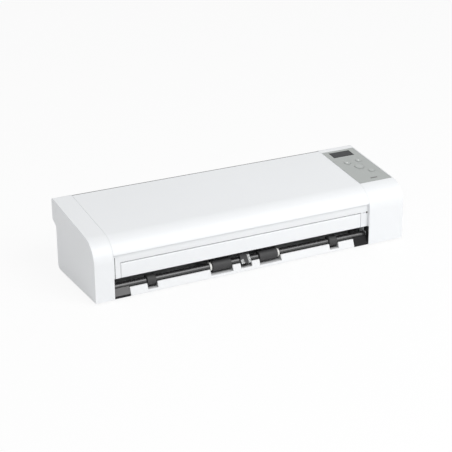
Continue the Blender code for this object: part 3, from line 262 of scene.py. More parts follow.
class ScannerDetail(PropertyGroup):
    """Sizes of the small forms."""

    edge: length("Edge radius", "Softened edge of the case mouldings", 0.0006)
    fine_edge: length("Fine edge radius", "Softened edge of the small pieces", 0.0002)
    shoulder: length("Roller shoulder", "Rounded shoulder of the rollers", 0.0007)
    dish: length("Button dish", "Depth of the hollow in a button cap", 0.00018)
    icon: length("Icon relief", "Height of the printed marks on the buttons", 0.00005)
    border: length("Display border", "Width of the dark border of the display window", 0.0009)
    rib_depth: length("Rib depth", "Height of the ribs on the inside of the lid", 0.0028)
    ribs: IntProperty(name="Lid ribs", description="Stiffening ribs on the inside of the lid", default=6,
                      min=1, max=20)


class ScannerStage(PropertyGroup):
    """Light and floor of the studio."""

    ambient: FloatProperty(name="Ambient", description="Level of the even light from all sides",
                           default=0.56, min=0)
    key: FloatProperty(name="Key", description="Power of the soft key light",
                       subtype="POWER", unit="POWER", default=16.5)
    fill: FloatProperty(name="Fill", description="Power of the soft fill light",
                        subtype="POWER", unit="POWER", default=2)
    floor_glow: FloatProperty(name="Floor glow", description="Share of plain white in the floor",
                              subtype="FACTOR", default=0.88, min=0, max=1)


def fill(tree, node, inputs):
    """Sets the inputs of a node to values, or links them where an output is given."""
    for label, value in inputs.items():
        if isinstance(value, bpy.types.NodeSocket):
            tree.links.new(value, node.inputs[label])
        else:
            node.inputs[label].default_value = value


def add(tree, kind, inputs, **options):
    """New shader node with its options and inputs."""
    node = tree.nodes.new(kind)
    for name, value in options.items():
        setattr(node, name, value)
    fill(tree, node, inputs)
    return node


def group_once(build):
    """Lets the maker of a node group give back the one that it made before."""

    def make(name):
        return bpy.data.node_groups.get(name) or build(name)

    return make


def new_group(name, inputs, outputs):
    """Shader node group with named sockets, its inputs, the place on the object and its end node."""
    group = bpy.data.node_groups.new(name, "ShaderNodeTree")
    for label, value in inputs.items():
        kind = "NodeSocketFloat" if isinstance(value, float) else "NodeSocketVector"
        group.interface.new_socket(label, in_out="INPUT", socket_type=kind).default_value = value
    for label in outputs:
        group.interface.new_socket(label, in_out="OUTPUT", socket_type="NodeSocketFloat")
    start = group.nodes.new("NodeGroupInput").outputs
    place = group.nodes.new("ShaderNodeTexCoord").outputs["Object"]
    return group, start, place, group.nodes.new("NodeGroupOutput")


@group_once
def grain_group(name):
    """Spark-textured mould grain, as a height, with a slow drift of tone."""
    scales = {"Grain Scale": 1800.0, "Drift Scale": 14.0}
    group, start, place, end = new_group(name, scales, ("Height", "Tone"))
    for label, source in (("Height", "Grain Scale"), ("Tone", "Drift Scale")):
        noise = add(group, "ShaderNodeTexNoise", {"Vector": place, "Scale": start[source], "Detail": 3.0})
        fill(group, end, {label: noise.outputs["Fac"]})
    return group


@group_once
def marks_group(name):
    """Faint smudges where hands touch, as a mask."""
    group, start, place, end = new_group(name, {"Scale": 45.0, "From": 0.45, "To": 0.75}, ("Mask",))
    noise = add(group, "ShaderNodeTexNoise",
                {"Vector": place, "Scale": start["Scale"], "Detail": 5.0, "Distortion": 0.6})
    ramp = add(group, "ShaderNodeMapRange",
               {"Value": noise.outputs["Fac"], "From Min": start["From"], "From Max": start["To"]})
    fill(group, end, {"Mask": ramp.outputs["Result"]})
    return group


@group_once
def streak_group(name):
    """Drawn-out streaks, as turned or brushed metal and ground rubber show them."""
    group, start, place, end = new_group(name, {"Stretch": (2500.0, 40.0, 40.0)}, ("Height",))
    drawn = add(group, "ShaderNodeVectorMath", {0: place, 1: start["Stretch"]}, operation="MULTIPLY")
    noise = add(group, "ShaderNodeTexNoise", {"Vector": drawn.outputs[0], "Scale": 1.0, "Detail": 2.0})
    fill(group, end, {"Height": noise.outputs["Fac"]})
    return group


def placed(tree, group, **values):
    """Outputs of a node group that is placed in a material with its own values."""
    inputs = {label.replace("_", " "): value for label, value in values.items()}
    return add(tree, "ShaderNodeGroup", inputs, node_tree=group).outputs


def smudges(tree, **values):
    """Mask of the handling marks."""
    return placed(tree, marks_group("Handling marks"), **values)["Mask"]


def spread(tree, source, low, high):
    """Maps a 0 to 1 output onto a span of values."""
    return add(tree, "ShaderNodeMapRange", {"Value": source, "To Min": low, "To Max": high}).outputs["Result"]


def toned(tree, source, first, last):
    """Mixes two colours by a 0 to 1 output."""
    inputs = {"Factor": source, "A": (*first, 1), "B": (*last, 1)}
    return add(tree, "ShaderNodeMix", inputs, data_type="RGBA").outputs["Result"]


def raised(tree, source, strength, depth):
    """Bump normal from a height."""
    inputs = {"Height": source, "Strength": strength, "Distance": depth}
    return add(tree, "ShaderNodeBump", inputs).outputs["Normal"]


def shade(value, share):
    """A colour made darker or lighter by a share."""
    return tuple(min(1.0, part * share) for part in value)


def fresh(name):
    """New material with its Principled shader."""
    material = bpy.data.materials.new(name)
    material.use_nodes = True
    return material, material.node_tree.nodes["Principled BSDF"]


def finish(recipe):
    """Turns a recipe for the shader's inputs into a maker of materials, which makes each name once."""

    def make(name, *values):
        if name in bpy.data.materials:
            return bpy.data.materials[name]
        material, shader = fresh(name)
        fill(material.node_tree, shader, recipe(material.node_tree, *values))
        return material

    return make


@finish
def moulded(tree, base, roughness, grain=0.12, drift=0.97, shine=0.5, scale=1800.0):
    """Moulded plastic: fine grain, slow drift of tone, smudged gloss."""
    texture = placed(tree, grain_group("Mould grain"), Grain_Scale=scale)
    return {
        "Base Color": toned(tree, texture["Tone"], shade(base, drift), base),
        "Roughness": spread(tree, smudges(tree), roughness, roughness - SMUDGE_GLOSS),
        "Specular IOR Level": shine,
        "Normal": raised(tree, texture["Height"], grain, GRAIN_DEPTH),
    }


@finish
def machined(tree, base, roughness, stretch, metallic=1.0, bump=0.1):
    """Turned or brushed surface: streaks in tone, gloss and height."""
    streaks = placed(tree, streak_group("Machined streaks"), Stretch=stretch)["Height"]
    return {
        "Base Color": toned(tree, streaks, *(shade(base, share) for share in STREAK_TONES)),
        "Metallic": metallic,
        "Roughness": spread(tree, streaks, *(roughness + part for part in STREAK_GLOSS)),
        "Normal": raised(tree, streaks, bump, FINE_DEPTH),
    }


@finish
def clear(tree, base, roughness, ior, passes=1.0):
    """Clear or milky plastic, or glass, with faint smudges."""
    return {
        "Base Color": (*base, 1),
        "Roughness": spread(tree, smudges(tree, Scale=GLASS_SMUDGES), roughness, roughness + SMUDGE_HAZE),
        "Transmission Weight": passes,
        "IOR": ior,
    }


@finish
def glossy_window(tree, base, shine):
    """Dark acrylic window with a hard gloss."""
    marks = smudges(tree, Scale=WINDOW_SMUDGES)
    return {
        "Base Color": toned(tree, marks, base, shade(base, WINDOW_TONE)),
        "Roughness": spread(tree, marks, *WINDOW_GLOSS),
        "Specular IOR Level": shine,
    }


@finish
def circuit(tree, base):
    """Solder mask over copper tracks."""
    place = tree.nodes.new("ShaderNodeTexCoord").outputs["Object"]
    inputs = {"Vector": place, "Scale": TRACK_SCALE, "Mortar Size": TRACK_WIDTH}
    tracks = add(tree, "ShaderNodeTexBrick", inputs).outputs["Fac"]
    return {
        "Base Color": toned(tree, tracks, base, shade(base, TRACK_TONE)),
        "Roughness": spread(tree, tracks, *TRACK_GLOSS),
        "Normal": raised(tree, tracks, TRACK_BUMP, FINE_DEPTH),
    }


def finishes(context):
    """Materials by the name of their finish."""
    c = context.scene.scanner_finish
    recipes = {
        "case_white": (moulded, c.case_white, 0.42, 0.08),
        "inner_white": (moulded, c.inner_white, 0.50, 0.10),
        "panel_grey": (moulded, c.panel_grey, 0.40, 0.10, 0.95),
        "button_grey": (moulded, c.button_grey, 0.38, 0.06),
        "block_grey": (moulded, c.block_grey, 0.50, 0.15),
        "black_plastic": (moulded, c.black_plastic, 0.42, 0.12, 0.7, 0.25),
        "block_black": (moulded, shade(c.black_plastic, 0.6), 0.5, 0.12, 0.7, 0.12),
        # painted shadow band on the lid's rear edge
        "seal_grey": (moulded, c.seal_grey, 0.6, 0.10, 0.8, 0.15),
        # painted shade for gaps, slot walls, the block's foot and the cooling slots
        "joint_dark": (moulded, c.joint_dark, 0.6, 0.05, 0.8, 0.1),
        "shaft_black": (machined, c.shaft_dark, 0.26, (1500.0, 90.0, 90.0), 0.7, 0.06),
        "white_acetal": (moulded, c.acetal, 0.35, 0.05),
        "clear_flag": (clear, c.clear_flag, 0.14, 1.49, 0.7),
        "dark_window": (glossy_window, c.window_dark, 0.15),
        "display_face": (glossy_window, c.display_dark, 0.15),
        "lens_smoke": (glossy_window, c.lens_smoke, 0.35),
        "print_light": (moulded, c.print_light, 0.45, 0.05),
        "print_dim": (moulded, shade(c.print_light, 0.66), 0.45, 0.05),
        "bare_plate": (machined, c.bare_plate, 0.42, (1400.0, 50.0, 50.0), 0.6, 0.04),
        "scan_glass": (clear, c.scan_glass, 0.02, 1.52),
        "roller_rubber": (machined, c.rubber, 0.62, (1800.0, 260.0, 260.0), 0.0, 0.25),
        "foot_rubber": (moulded, c.rubber, 0.75, 0.30, 0.8, 0.5, 900.0),
        "steel": (machined, c.steel, 0.34, (60.0, 60.0, 1600.0)),
        "turned_steel": (machined, c.steel, 0.26, (2200.0, 60.0, 60.0)),
        "brass": (machined, c.brass, 0.30, (2200.0, 60.0, 60.0)),
        "board_green": (circuit, c.board_green),
    }
    return {key: maker(key.replace("_", " "), *values) for key, (maker, *values) in recipes.items()}


def settings(context):
    """Sizes of the small forms, and the materials by the name of their finish."""
    return context.scene.scanner_detail, finishes(context)


def pair(stem):
    """Names of the left and the right node of a pair."""
    return stem + "_left", stem + "_right"


def merged_copy(node, flats=True):
    """Editable copy of a node's solid, with its triangles merged into flat faces unless these have holes."""
    bm = bmesh.new()
    bm.from_mesh(frame["nodes"][node].data)
    bmesh.ops.remove_doubles(bm, verts=bm.verts, dist=MERGE)
    if flats:
        bmesh.ops.dissolve_limit(bm, angle_limit=FLAT, verts=bm.verts, edges=bm.edges, delimit=set())
    return bm


def surface_of(*nodes):
    """Surface of the solids of some nodes, for rays."""
    bm = bmesh.new()
    for node in nodes:
        bm.from_mesh(frame["nodes"][node].data)
    tree = BVHTree.FromBMesh(bm)
    bm.free()
    return tree


def rounded(bm, edges, width, segments=2, slide=False):
    """Rounds edges by a width."""
    bmesh.ops.bevel(bm, geom=edges, offset=width, offset_type="OFFSET", affect="EDGES", segments=segments,
                    profile=0.5, material=-1, loop_slide=slide)


def soften(bm, width, test=None):
    """Rounds the sharp edges that are long enough to take the width."""
    edges = []
    for edge in bm.edges:
        if len(edge.link_faces) != 2 or edge.calc_length() < LEAST_WIDTHS * width:
            continue
        if edge.calc_face_angle() > SHARP and (test is None or test(edge)):
            edges.append(edge)
    rounded(bm, edges, width, segments=3, slide=True)
    return bm


def as_piece(name, bm, material, node=None, body=None):
    """Object from a bmesh, riding on its body and standing for its node."""
    mesh = bpy.data.meshes.new(name)
    bm.to_mesh(mesh)
    bm.free()
    mesh.materials.append(material)
    mesh.polygons.foreach_set("use_smooth", [True] * len(mesh.polygons))
    mesh.set_sharp_from_angle(angle=SHARP)
    piece = bpy.data.objects.new(name, mesh)
    bpy.context.scene.collection.objects.link(piece)
    even = piece.modifiers.new("even_shading", "WEIGHTED_NORMAL")
    even.keep_sharp = True
    even.weight = EVEN_WEIGHT
    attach(piece, body or BODY_OF[node])
    if body is None:
        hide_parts(node)
    return piece


def trim(name, bm, looks, look, body="case"):
    """Small form that stands for no node, on a body and in a finish."""
    as_piece(name, bm, looks[look], body=body)


def dressed(node, material, width, test=None, flats=True):
    """Softened copy of a node in its finish."""
    return as_piece(node + "_finished", soften(merged_copy(node, flats), width, test), material, node)


def dress_all(nodes, material, width, flats=True):
    """Softened copies of several nodes in one finish."""
    for node in nodes:
        dressed(node, material, width, flats=flats)


def looks_out(*nodes):
    """Test for edges that don't face down and from which none of these nodes is in sight."""
    surface = surface_of(*nodes)

    def test(edge):
        middle = (edge.verts[0].co + edge.verts[1].co) / 2
        outward = sum((face.normal for face in edge.link_faces), Vector()).normalized()
        return outward.z > FACING_DOWN and surface.ray_cast(middle + outward * FREE_START, outward)[0] is None

    return test


def cut(bm, point, facing, clear=False):
    """Cuts a bmesh by a plane through a point, and clears what the plane faces if asked. Returns the cut."""
    everything = bm.verts[:] + bm.edges[:] + bm.faces[:]
    return bmesh.ops.bisect_plane(bm, geom=everything, dist=MERGE, plane_co=point, plane_no=facing,
                                  clear_outer=clear)["geom_cut"]


def banded(piece, material, test, cuts=()):
    """Gives the faces of a piece that pass a test a second material, after plane cuts."""
    bm = bmesh.new()
    bm.from_mesh(piece.data)
    for point, facing in cuts:
        cut(bm, point, facing)
    for face in bm.faces:
        face.material_index = int(test(face.calc_center_median(), face.normal))
    bm.to_mesh(piece.data)
    bm.free()
    piece.data.materials.append(material)


def slab(bm, low, high):
    """Adds a block between two corners."""
    low, high = Vector(low), Vector(high)
    place = Matrix.Translation((low + high) / 2) @ Matrix.Diagonal((*(high - low), 1))
    return bmesh.ops.create_cube(bm, size=1, matrix=place)["verts"]


def standing(bm, x, y, z, size):
    """Adds a block of a size that stands on a point."""
    wide, deep, tall = size
    slab(bm, (x - wide / 2, y - deep / 2, z), (x + wide / 2, y + deep / 2, z + tall))


def disc(bm, centre, radius, depth, facing, steps=32):
    """Adds a short round plug whose flat end faces a direction."""
    turn = Vector(facing).to_track_quat("Z", "Y").to_matrix().to_4x4()
    place = Matrix.Translation(Vector(centre)) @ turn
    bmesh.ops.create_cone(bm, cap_ends=True, segments=steps, radius1=radius, radius2=radius, depth=depth,
                          matrix=place)


def thickened(bm, faces, offset):
    """Grows faces into closed pieces by an offset."""
    grown = bmesh.ops.extrude_face_region(bm, geom=faces)["geom"]
    moved = [item for item in grown if isinstance(item, bmesh.types.BMVert)]
    bmesh.ops.translate(bm, verts=moved, vec=offset)


def tilted(bm, verts, angle, place):
    """Turns corners about the X axis and moves them to a place."""
    bmesh.ops.rotate(bm, verts=verts, cent=(0, 0, 0), matrix=Matrix.Rotation(angle, 3, "X"))
    bmesh.ops.translate(bm, verts=verts, vec=place)


def upright(bm):
    """Edges that stand straight up."""
    return [edge for edge in bm.edges if edge.verts[0].co.xy == edge.verts[1].co.xy]


def face_outward(bm):
    """Makes the faces of closed pieces agree and point outwards."""
    bmesh.ops.remove_doubles(bm, verts=bm.verts, dist=MERGE)
    bmesh.ops.recalc_face_normals(bm, faces=bm.faces)
    if bm.calc_volume(signed=True) < 0:
        bmesh.ops.reverse_faces(bm, faces=bm.faces)


def spun(bm, points, centre, axis, angle=2 * math.pi, steps=TURN_STEPS, first=0):
    """Adds a closed outline turned about an axis, starting at a first angle, and closes a full turn."""
    verts = [bm.verts.new(point) for point in points]
    edges = [bm.edges.new((verts[i - 1], verts[i])) for i in range(len(verts))]
    if first:
        bmesh.ops.rotate(bm, verts=verts, cent=centre, matrix=Matrix.Rotation(first, 3, axis))
    bmesh.ops.spin(bm, geom=verts + edges, cent=centre, axis=axis, dvec=(0, 0, 0), angle=angle, steps=steps,
                   use_merge=not first, use_normal_flip=False, use_duplicate=False)


def turned(profile, axis):
    """Ring turned about an axis along X from a closed profile of (x, radius)."""
    bm = bmesh.new()
    spun(bm, [(x, axis[0], axis[1] + radius) for x, radius in profile], (0, *axis), SIDE_AXIS)
    face_outward(bm)
    return bm


def axis_of(node):
    """Centre (y, z) of a round node that lies along X, and its half height."""
    low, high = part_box(node)
    return ((low.y + high.y) / 2, (low.z + high.z) / 2), (high.z - low.z) / 2


def ring_profile(low, high, inner, outer, shoulder, steps=4):
    """Closed profile of a roller between two ends, with rounded shoulders."""
    bend = []
    for i in range(steps + 1):
        a = math.pi / 2 * i / steps
        bend.append((shoulder * (1 - math.sin(a)), outer - shoulder * (1 - math.cos(a))))
    rise = [(low + inset, radius) for inset, radius in reversed(bend)]
    fall = [(high - inset, radius) for inset, radius in bend]
    return [(low, inner)] + rise + fall + [(high, inner)]


def rollers(nodes, shaft_radius, shoulder, material):
    """Turned copies of the rollers or bushes that sit on a shaft."""
    for node in nodes:
        axis, radius = axis_of(node)
        low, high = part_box(node)
        profile = ring_profile(low.x, high.x, shaft_radius + BORE_GAP, radius, shoulder)
        as_piece(node + "_finished", turned(profile, axis), material, node)


class SCANNER_OT_case(Operator):
    """Case mouldings and their screws"""

    bl_idname = "scanner.case"
    bl_label = "Case"

    def execute(self, context):
        detail, looks = settings(context)
        dressed("upper_shell", looks["case_white"], detail.edge / 2,
                test=looks_out("upper_shell", "panel_plate"))
        dressed("base_shell", looks["case_white"], detail.fine_edge)
        dress_all(pair("case_screw"), looks["turned_steel"], detail.fine_edge)
        self.lips(looks)
        return {"FINISHED"}

    def lips(self, looks):
        """Lips on the end pods that close the gaps beside the lid, a little below its surface."""
        low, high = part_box("input_lid")
        lid = surface_of("input_lid")
        bm = bmesh.new()
        for edge, side in ((low.x, -1), (high.x, 1)):
            line = []
            for i in range(LIP_STEPS + 1):
                angle = LIP_FRONT + (LIP_REAR - LIP_FRONT) * i / LIP_STEPS
                outward = Vector((0, math.cos(angle), math.sin(angle)))
                start = Vector((edge - side * LIP_CLEAR, *LIP_CENTRE)) + outward
                point, normal, _, _ = lid.ray_cast(start, -outward)
                if point is None:
                    raise RuntimeError("no lid beside a lip of the case")
                point.x = edge + side * LIP_CLEAR
                line.append([bm.verts.new(point - normal * depth) for depth in (LIP_DROP, LIP_DEPTH)])
            faces = [bm.faces.new((a, b, d, c)) for (a, b), (c, d) in zip(line, line[1:])]
            thickened(bm, faces, (side * LIP_WIDTH, 0, 0))
        face_outward(bm)
        trim("lid_gap_lips", bm, looks, "case_white")


class SCANNER_OT_lid(Operator):
    """Input lid with its hinge pins"""

    bl_idname = "scanner.lid"
    bl_label = "Input lid"

    def execute(self, context):
        detail, looks = settings(context)
        lid = dressed("input_lid", looks["case_white"], detail.edge / 3)
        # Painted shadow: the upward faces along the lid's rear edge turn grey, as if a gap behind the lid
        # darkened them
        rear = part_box("input_lid")[1].y - REAR_SHADOW_REACH
        banded(lid, looks["seal_grey"], lambda centre, normal: centre.y > rear and normal.z > REAR_SHADOW_UP)
        dress_all(pair("hinge_pin"), looks["turned_steel"], detail.fine_edge)
        self.ribs(detail, looks)
        return {"FINISHED"}

    def ribs(self, detail, looks):
        """Stiffening ribs under the lid's sloping top, with one rib across them."""
        low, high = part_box("input_lid")
        bm = bmesh.new()
        for i in range(detail.ribs):
            x = low.x + (high.x - low.x) * (i + 0.5) / detail.ribs
            slab(bm, (x - RIB_HALF, RIB_FRONT_Y, -detail.rib_depth), (x + RIB_HALF, RIB_REAR_Y, RIB_SET))
        across = (RIB_FRONT_Y + RIB_REAR_Y) / 2
        inset = (high.x - low.x) / (2 * detail.ribs)
        slab(bm, (low.x + inset, across - RIB_HALF, -detail.rib_depth / 2),
             (high.x - inset, across + RIB_HALF, RIB_SET))
        rounded(bm, bm.edges[:], detail.fine_edge)
        tilted(bm, bm.verts, PANEL_TILT, (0, 0, LID_UNDERSIDE_Z))
        trim("lid_ribs", bm, looks, "inner_white", body="lid")


class SCANNER_OT_exit_front(Operator):
    """Exit flap and ramp"""

    bl_idname = "scanner.exit_front"
    bl_label = "Exit flap and ramp"

    def execute(self, context):
        detail, looks = settings(context)
        dressed("exit_flap", looks["case_white"], detail.fine_edge)
        dressed("exit_ramp", looks["inner_white"], detail.fine_edge * 2, test=self.on_ramp_front)
        self.gap_shadows(detail, looks)
        self.wall_shades(looks)
        return {"FINISHED"}

    def on_ramp_front(self, edge):
        """True for an edge at the front of the ramp, above its foot."""
        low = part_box("exit_ramp")[0]
        return all(vert.co.y < low.y + RAMP_REACH and vert.co.z > low.z + RAMP_FOOT for vert in edge.verts)

    def gap_shadows(self, detail, looks):
        """Painted shadow of the gaps beside the flap, laid on as dark slabs: a line on its left, and a dash
        and a dot for a pivot hole on its right.
        """
        low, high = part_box("exit_flap")
        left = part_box("input_lid")[0].x
        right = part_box("input_lid")[1].x
        line = high.z + SEAM_RISE
        deep, proud = low.y + SEAM_DEPTH, low.y - detail.icon / 2
        bm = bmesh.new()
        slab(bm, (left + SEAM_LEFT[0], proud, low.z + SEAM_FOOT),
             (left + SEAM_LEFT[1], deep, line + SEAM_TALL))
        slab(bm, (right - SEAM_RIGHT[0], proud, line - SEAM_HALF),
             (right - SEAM_RIGHT[1], deep, line + SEAM_HALF))
        disc(bm, (right - PIVOT_R, (deep + proud) / 2, line), PIVOT_R, deep - proud, (0, -1, 0), MARK_STEPS)
        # these dark slabs are painted shadow of the gaps beside the flap
        trim("flap_gap_shadows", bm, looks, "joint_dark")

    def wall_shades(self, looks):
        """Thin dark sheets on the two side walls of the exit slot: painted shade where the walls lie in
        shadow.
        """
        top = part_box("exit_flap")[0].z
        (axis_y, axis_z), radius = axis_of("exit_shaft")
        room = radius + WALL_SHADE_THICK
        bm = bmesh.new()
        for node, corner, side in (("bearing_block_left", 0, -1), ("bearing_block_right", 1, 1)):
            low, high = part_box(node)
            x = (low, high)[corner].x + side * WALL_SHADE_GAP
            foot = low.z + WALL_SHADE_GAP
            outline = ((low.y, foot), (WALL_SHADE_BACK_Y, foot), (WALL_SHADE_BACK_Y, axis_z - room),
                       (axis_y - room, axis_z - room), (axis_y - room, axis_z + room),
                       (WALL_SHADE_BACK_Y, axis_z + room), (WALL_SHADE_BACK_Y, top), (low.y, top))
            face = bm.faces.new([bm.verts.new((x, y, z)) for y, z in outline])
            thickened(bm, [face], (side * WALL_SHADE_THICK, 0, 0))
        face_outward(bm)
        # the sheets are painted shade on the slot walls
        trim("slot_wall_shades", bm, looks, "joint_dark")


class SCANNER_OT_exit_axle(Operator):
    """Exit shaft with its rollers, bushes and bearing blocks"""

    bl_idname = "scanner.exit_axle"
    bl_label = "Exit shaft"

    def execute(self, context):
        detail, looks = settings(context)
        rollers(pair("exit_roller") + pair("exit_end_roller"),
                SHAFT_R, detail.shoulder, looks["roller_rubber"])
        rollers(pair("exit_bush"), SHAFT_R, detail.fine_edge * 2, looks["white_acetal"])
        dressed("exit_shaft", looks["shaft_black"], detail.fine_edge)
        block = dressed("bearing_block_left", looks["block_grey"], detail.fine_edge,
                        test=looks_out("bearing_block_left"))
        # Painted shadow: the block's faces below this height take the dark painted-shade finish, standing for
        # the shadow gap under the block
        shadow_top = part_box("bearing_block_left")[0].z + UNDER_SHADOW_HEIGHT
        banded(block, looks["joint_dark"], lambda centre, normal: centre.z < shadow_top, [((0, 0, shadow_top), UP)])
        dressed("bearing_block_right", looks["block_black"], detail.fine_edge,
                test=looks_out("bearing_block_right"))
        return {"FINISHED"}


class SCANNER_OT_sensor(Operator):
    """Clear sensor flag and the pinch rollers behind the slot"""

    bl_idname = "scanner.sensor"
    bl_label = "Sensor flag and pinch rollers"

    def execute(self, context):
        detail, looks = settings(context)
        flag = dressed("exit_sensor_flag", looks["clear_flag"], detail.fine_edge)
        low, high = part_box("exit_sensor_flag")
        middle = (low.x + high.x) / 2
        left, right = (low.z + (high.z - low.z) * share for share in (FLAG_LEFT_SHARE, FLAG_CLEAR_SHARE))
        self.hub(flag, middle, left, right, looks)
        self.core(middle, right, looks)
        dressed("pinch_shaft", looks["turned_steel"], detail.fine_edge)
        rollers(pair("pinch_roller"), axis_of("pinch_shaft")[1], detail.shoulder, looks["black_plastic"])
        return {"FINISHED"}

    def hub(self, flag, middle, left, right, looks):
        """Dark upper part of the flag, which reaches further down on the left of the web."""
        cuts = [((middle, 0, 0), SIDE_AXIS), ((0, 0, left), UP), ((0, 0, right), UP)]
        banded(flag, looks["black_plastic"],
               lambda centre, normal: centre.z > (left if centre.x < middle else right), cuts)

    def core(self, middle, top, looks):
        """Dark web down the middle of the clear flag, just proud of it."""
        bm = merged_copy("exit_sensor_flag", flats=False)
        for point, outward in (((0, 0, top), UP), ((middle - FLAG_CORE_HALF, 0, 0), -SIDE_AXIS),
                               ((middle + FLAG_CORE_HALF, 0, 0), SIDE_AXIS)):
            rim = cut(bm, point, outward, clear=True)
            edges = [item for item in rim if isinstance(item, bmesh.types.BMEdge)]
            bmesh.ops.holes_fill(bm, edges=edges, sides=0)
        bmesh.ops.recalc_face_normals(bm, faces=bm.faces)
        centre = sum((vert.co for vert in bm.verts), Vector()) / len(bm.verts)
        swell = (1, CORE_SWELL, CORE_SWELL)
        bmesh.ops.scale(bm, vec=swell, verts=bm.verts, space=Matrix.Translation(-centre))
        trim("flag_core", bm, looks, "black_plastic", body="sensor_flag")


class SCANNER_OT_panel(Operator):
    """Control panel with its display, buttons and lens"""

    bl_idname = "scanner.control_panel"
    bl_label = "Control panel"

    def execute(self, context):
        detail, looks = settings(context)
        dressed("panel_plate", looks["panel_grey"], detail.fine_edge, test=self.on_border, flats=False)
        self.display(detail, looks)
        dressed("display_module", looks["black_plastic"], detail.fine_edge)
        dressed("status_lens", looks["lens_smoke"], detail.fine_edge)
        dressed("panel_board", looks["board_green"], detail.fine_edge)
        for node, mark in (("button_left", "dot"), ("button_right", "dot"), ("button_scan", "ring"),
                           ("button_power", "power")):
            self.cap(node, detail, looks, mark)
        return {"FINISHED"}

    def on_border(self, edge):
        """True for an edge along the outline of the panel plate, away from its holes."""
        low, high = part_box("panel_plate")
        middle = (edge.verts[0].co + edge.verts[1].co) / 2
        return min(middle.x - low.x, high.x - middle.x, middle.y - low.y, high.y - middle.y) < BORDER_REACH

    def with_top(self, node):
        """Editable copy of a panel piece, and its largest face that looks out of the panel."""
        bm = merged_copy(node)
        bmesh.ops.recalc_face_normals(bm, faces=bm.faces)
        outward = [face for face in bm.faces if face.normal.dot(PANEL_UP) > FACING_OUT]
        if not outward:
            raise RuntimeError("a panel piece has no face that looks out of the panel")
        return bm, max(outward, key=lambda face: face.calc_area())

    def display(self, detail, looks):
        """Window with a dark printed border round the unlit face of the display."""
        bm, face = self.with_top("display_window")
        bmesh.ops.inset_region(bm, faces=[face], thickness=detail.border, depth=0, use_even_offset=True)
        face.material_index = 1
        soften(bm, detail.fine_edge)
        window = as_piece("display_window_finished", bm, looks["dark_window"], "display_window")
        window.data.materials.append(looks["display_face"])

    def cap(self, node, detail, looks, mark):
        """Button cap with a rim round a shallow dish, and its printed mark."""
        bm, face = self.with_top(node)
        centre = face.calc_center_median()
        radius = max((vert.co - centre).length for vert in face.verts)
        for thickness, depth in ((radius * RIM_SHARE, 0), (radius * DISH_SHARE, -detail.dish)):
            bmesh.ops.inset_region(bm, faces=[face], thickness=thickness, depth=depth, use_even_offset=True)
        as_piece(node + "_finished", soften(bm, detail.fine_edge), looks["button_grey"], node)
        floor = centre - PANEL_UP * detail.dish
        bm = bmesh.new()
        if mark == "dot":
            disc(bm, floor, DOT_R, 2 * detail.icon, PANEL_UP, MARK_STEPS)
        else:
            self.ring(bm, floor, radius * RING_SHARE, detail.icon, RING_GAP if mark == "power" else 0)
        if mark == "power":
            self.bar(bm, floor, radius * RING_SHARE, detail.icon)
        look = "print_light" if mark == "dot" else "print_dim"
        trim(node + "_mark", bm, looks, look, body=BODY_OF[node])

    def ring(self, bm, centre, radius, relief, gap):
        """Adds a thin printed ring that lies in the panel's slope, open at its rear where there is a gap."""
        half = RING_WIDTH / 2
        corners = [centre + PANEL_BACK * (radius + side * half) + PANEL_UP * height
                   for side, height in ((-1, -relief), (1, -relief), (1, relief), (-1, relief))]
        spun(bm, corners, centre, PANEL_UP, 2 * math.pi - 2 * gap, TURN_STEPS // 2, gap)
        if gap:
            bmesh.ops.holes_fill(bm, edges=[edge for edge in bm.edges if edge.is_boundary], sides=0)
        face_outward(bm)

    def bar(self, bm, centre, radius, relief):
        """Adds the short stroke in the gap of the power mark."""
        front, rear = (radius * share for share in BAR_SHARES)
        verts = slab(bm, (-RING_WIDTH / 2, front, -relief), (RING_WIDTH / 2, rear, relief))
        tilted(bm, verts, PANEL_TILT, centre)


class SCANNER_OT_paper_path(Operator):
    """Feed rollers, scan bars, deck, guides and inner cover"""

    bl_idname = "scanner.paper_path"
    bl_label = "Paper path"

    def execute(self, context):
        detail, looks = settings(context)
        dress_all(("inner_cover", "inlet_deck"), looks["inner_white"], detail.fine_edge)
        dress_all(pair("paper_guide"), looks["button_grey"], detail.fine_edge / 2, flats=False)
        dress_all(pair("frame_plate"), looks["steel"], detail.fine_edge / 4, flats=False)
        dress_all(("lower_scan_bar", "upper_scan_bar", "pad_holder"),
                  looks["black_plastic"], detail.fine_edge)
        dress_all(("lower_scan_glass", "upper_scan_glass"), looks["scan_glass"], detail.fine_edge / 2)
        dressed("separation_pad", looks["foot_rubber"], detail.fine_edge)
        dressed("feed_shaft", looks["turned_steel"], detail.fine_edge)
        rollers(pair("feed_roller"), axis_of("feed_shaft")[1], detail.shoulder, looks["roller_rubber"])
        self.width_marks(detail, looks)
        return {"FINISHED"}

    def width_marks(self, detail, looks):
        """Printed ticks on the deck at the edges of the usual paper widths, on both sides of its middle."""
        low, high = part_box("inlet_deck")
        deck = surface_of("inlet_deck")
        middle = (low.x + high.x) / 2
        corner = Vector((MARK_HALF, MARK_LENGTH / 2, detail.icon))
        bm = bmesh.new()
        for half in PAPER_HALVES:
            for side in (-1, 1):
                point, normal, _, _ = deck.ray_cast(Vector((middle + side * half, MARK_Y, high.z)), -UP)
                if point is None:
                    raise RuntimeError("no deck under a paper width mark")
                tilted(bm, slab(bm, -corner, corner), math.atan2(-normal.y, normal.z), point)
        trim("paper_width_marks", bm, looks, "button_grey")


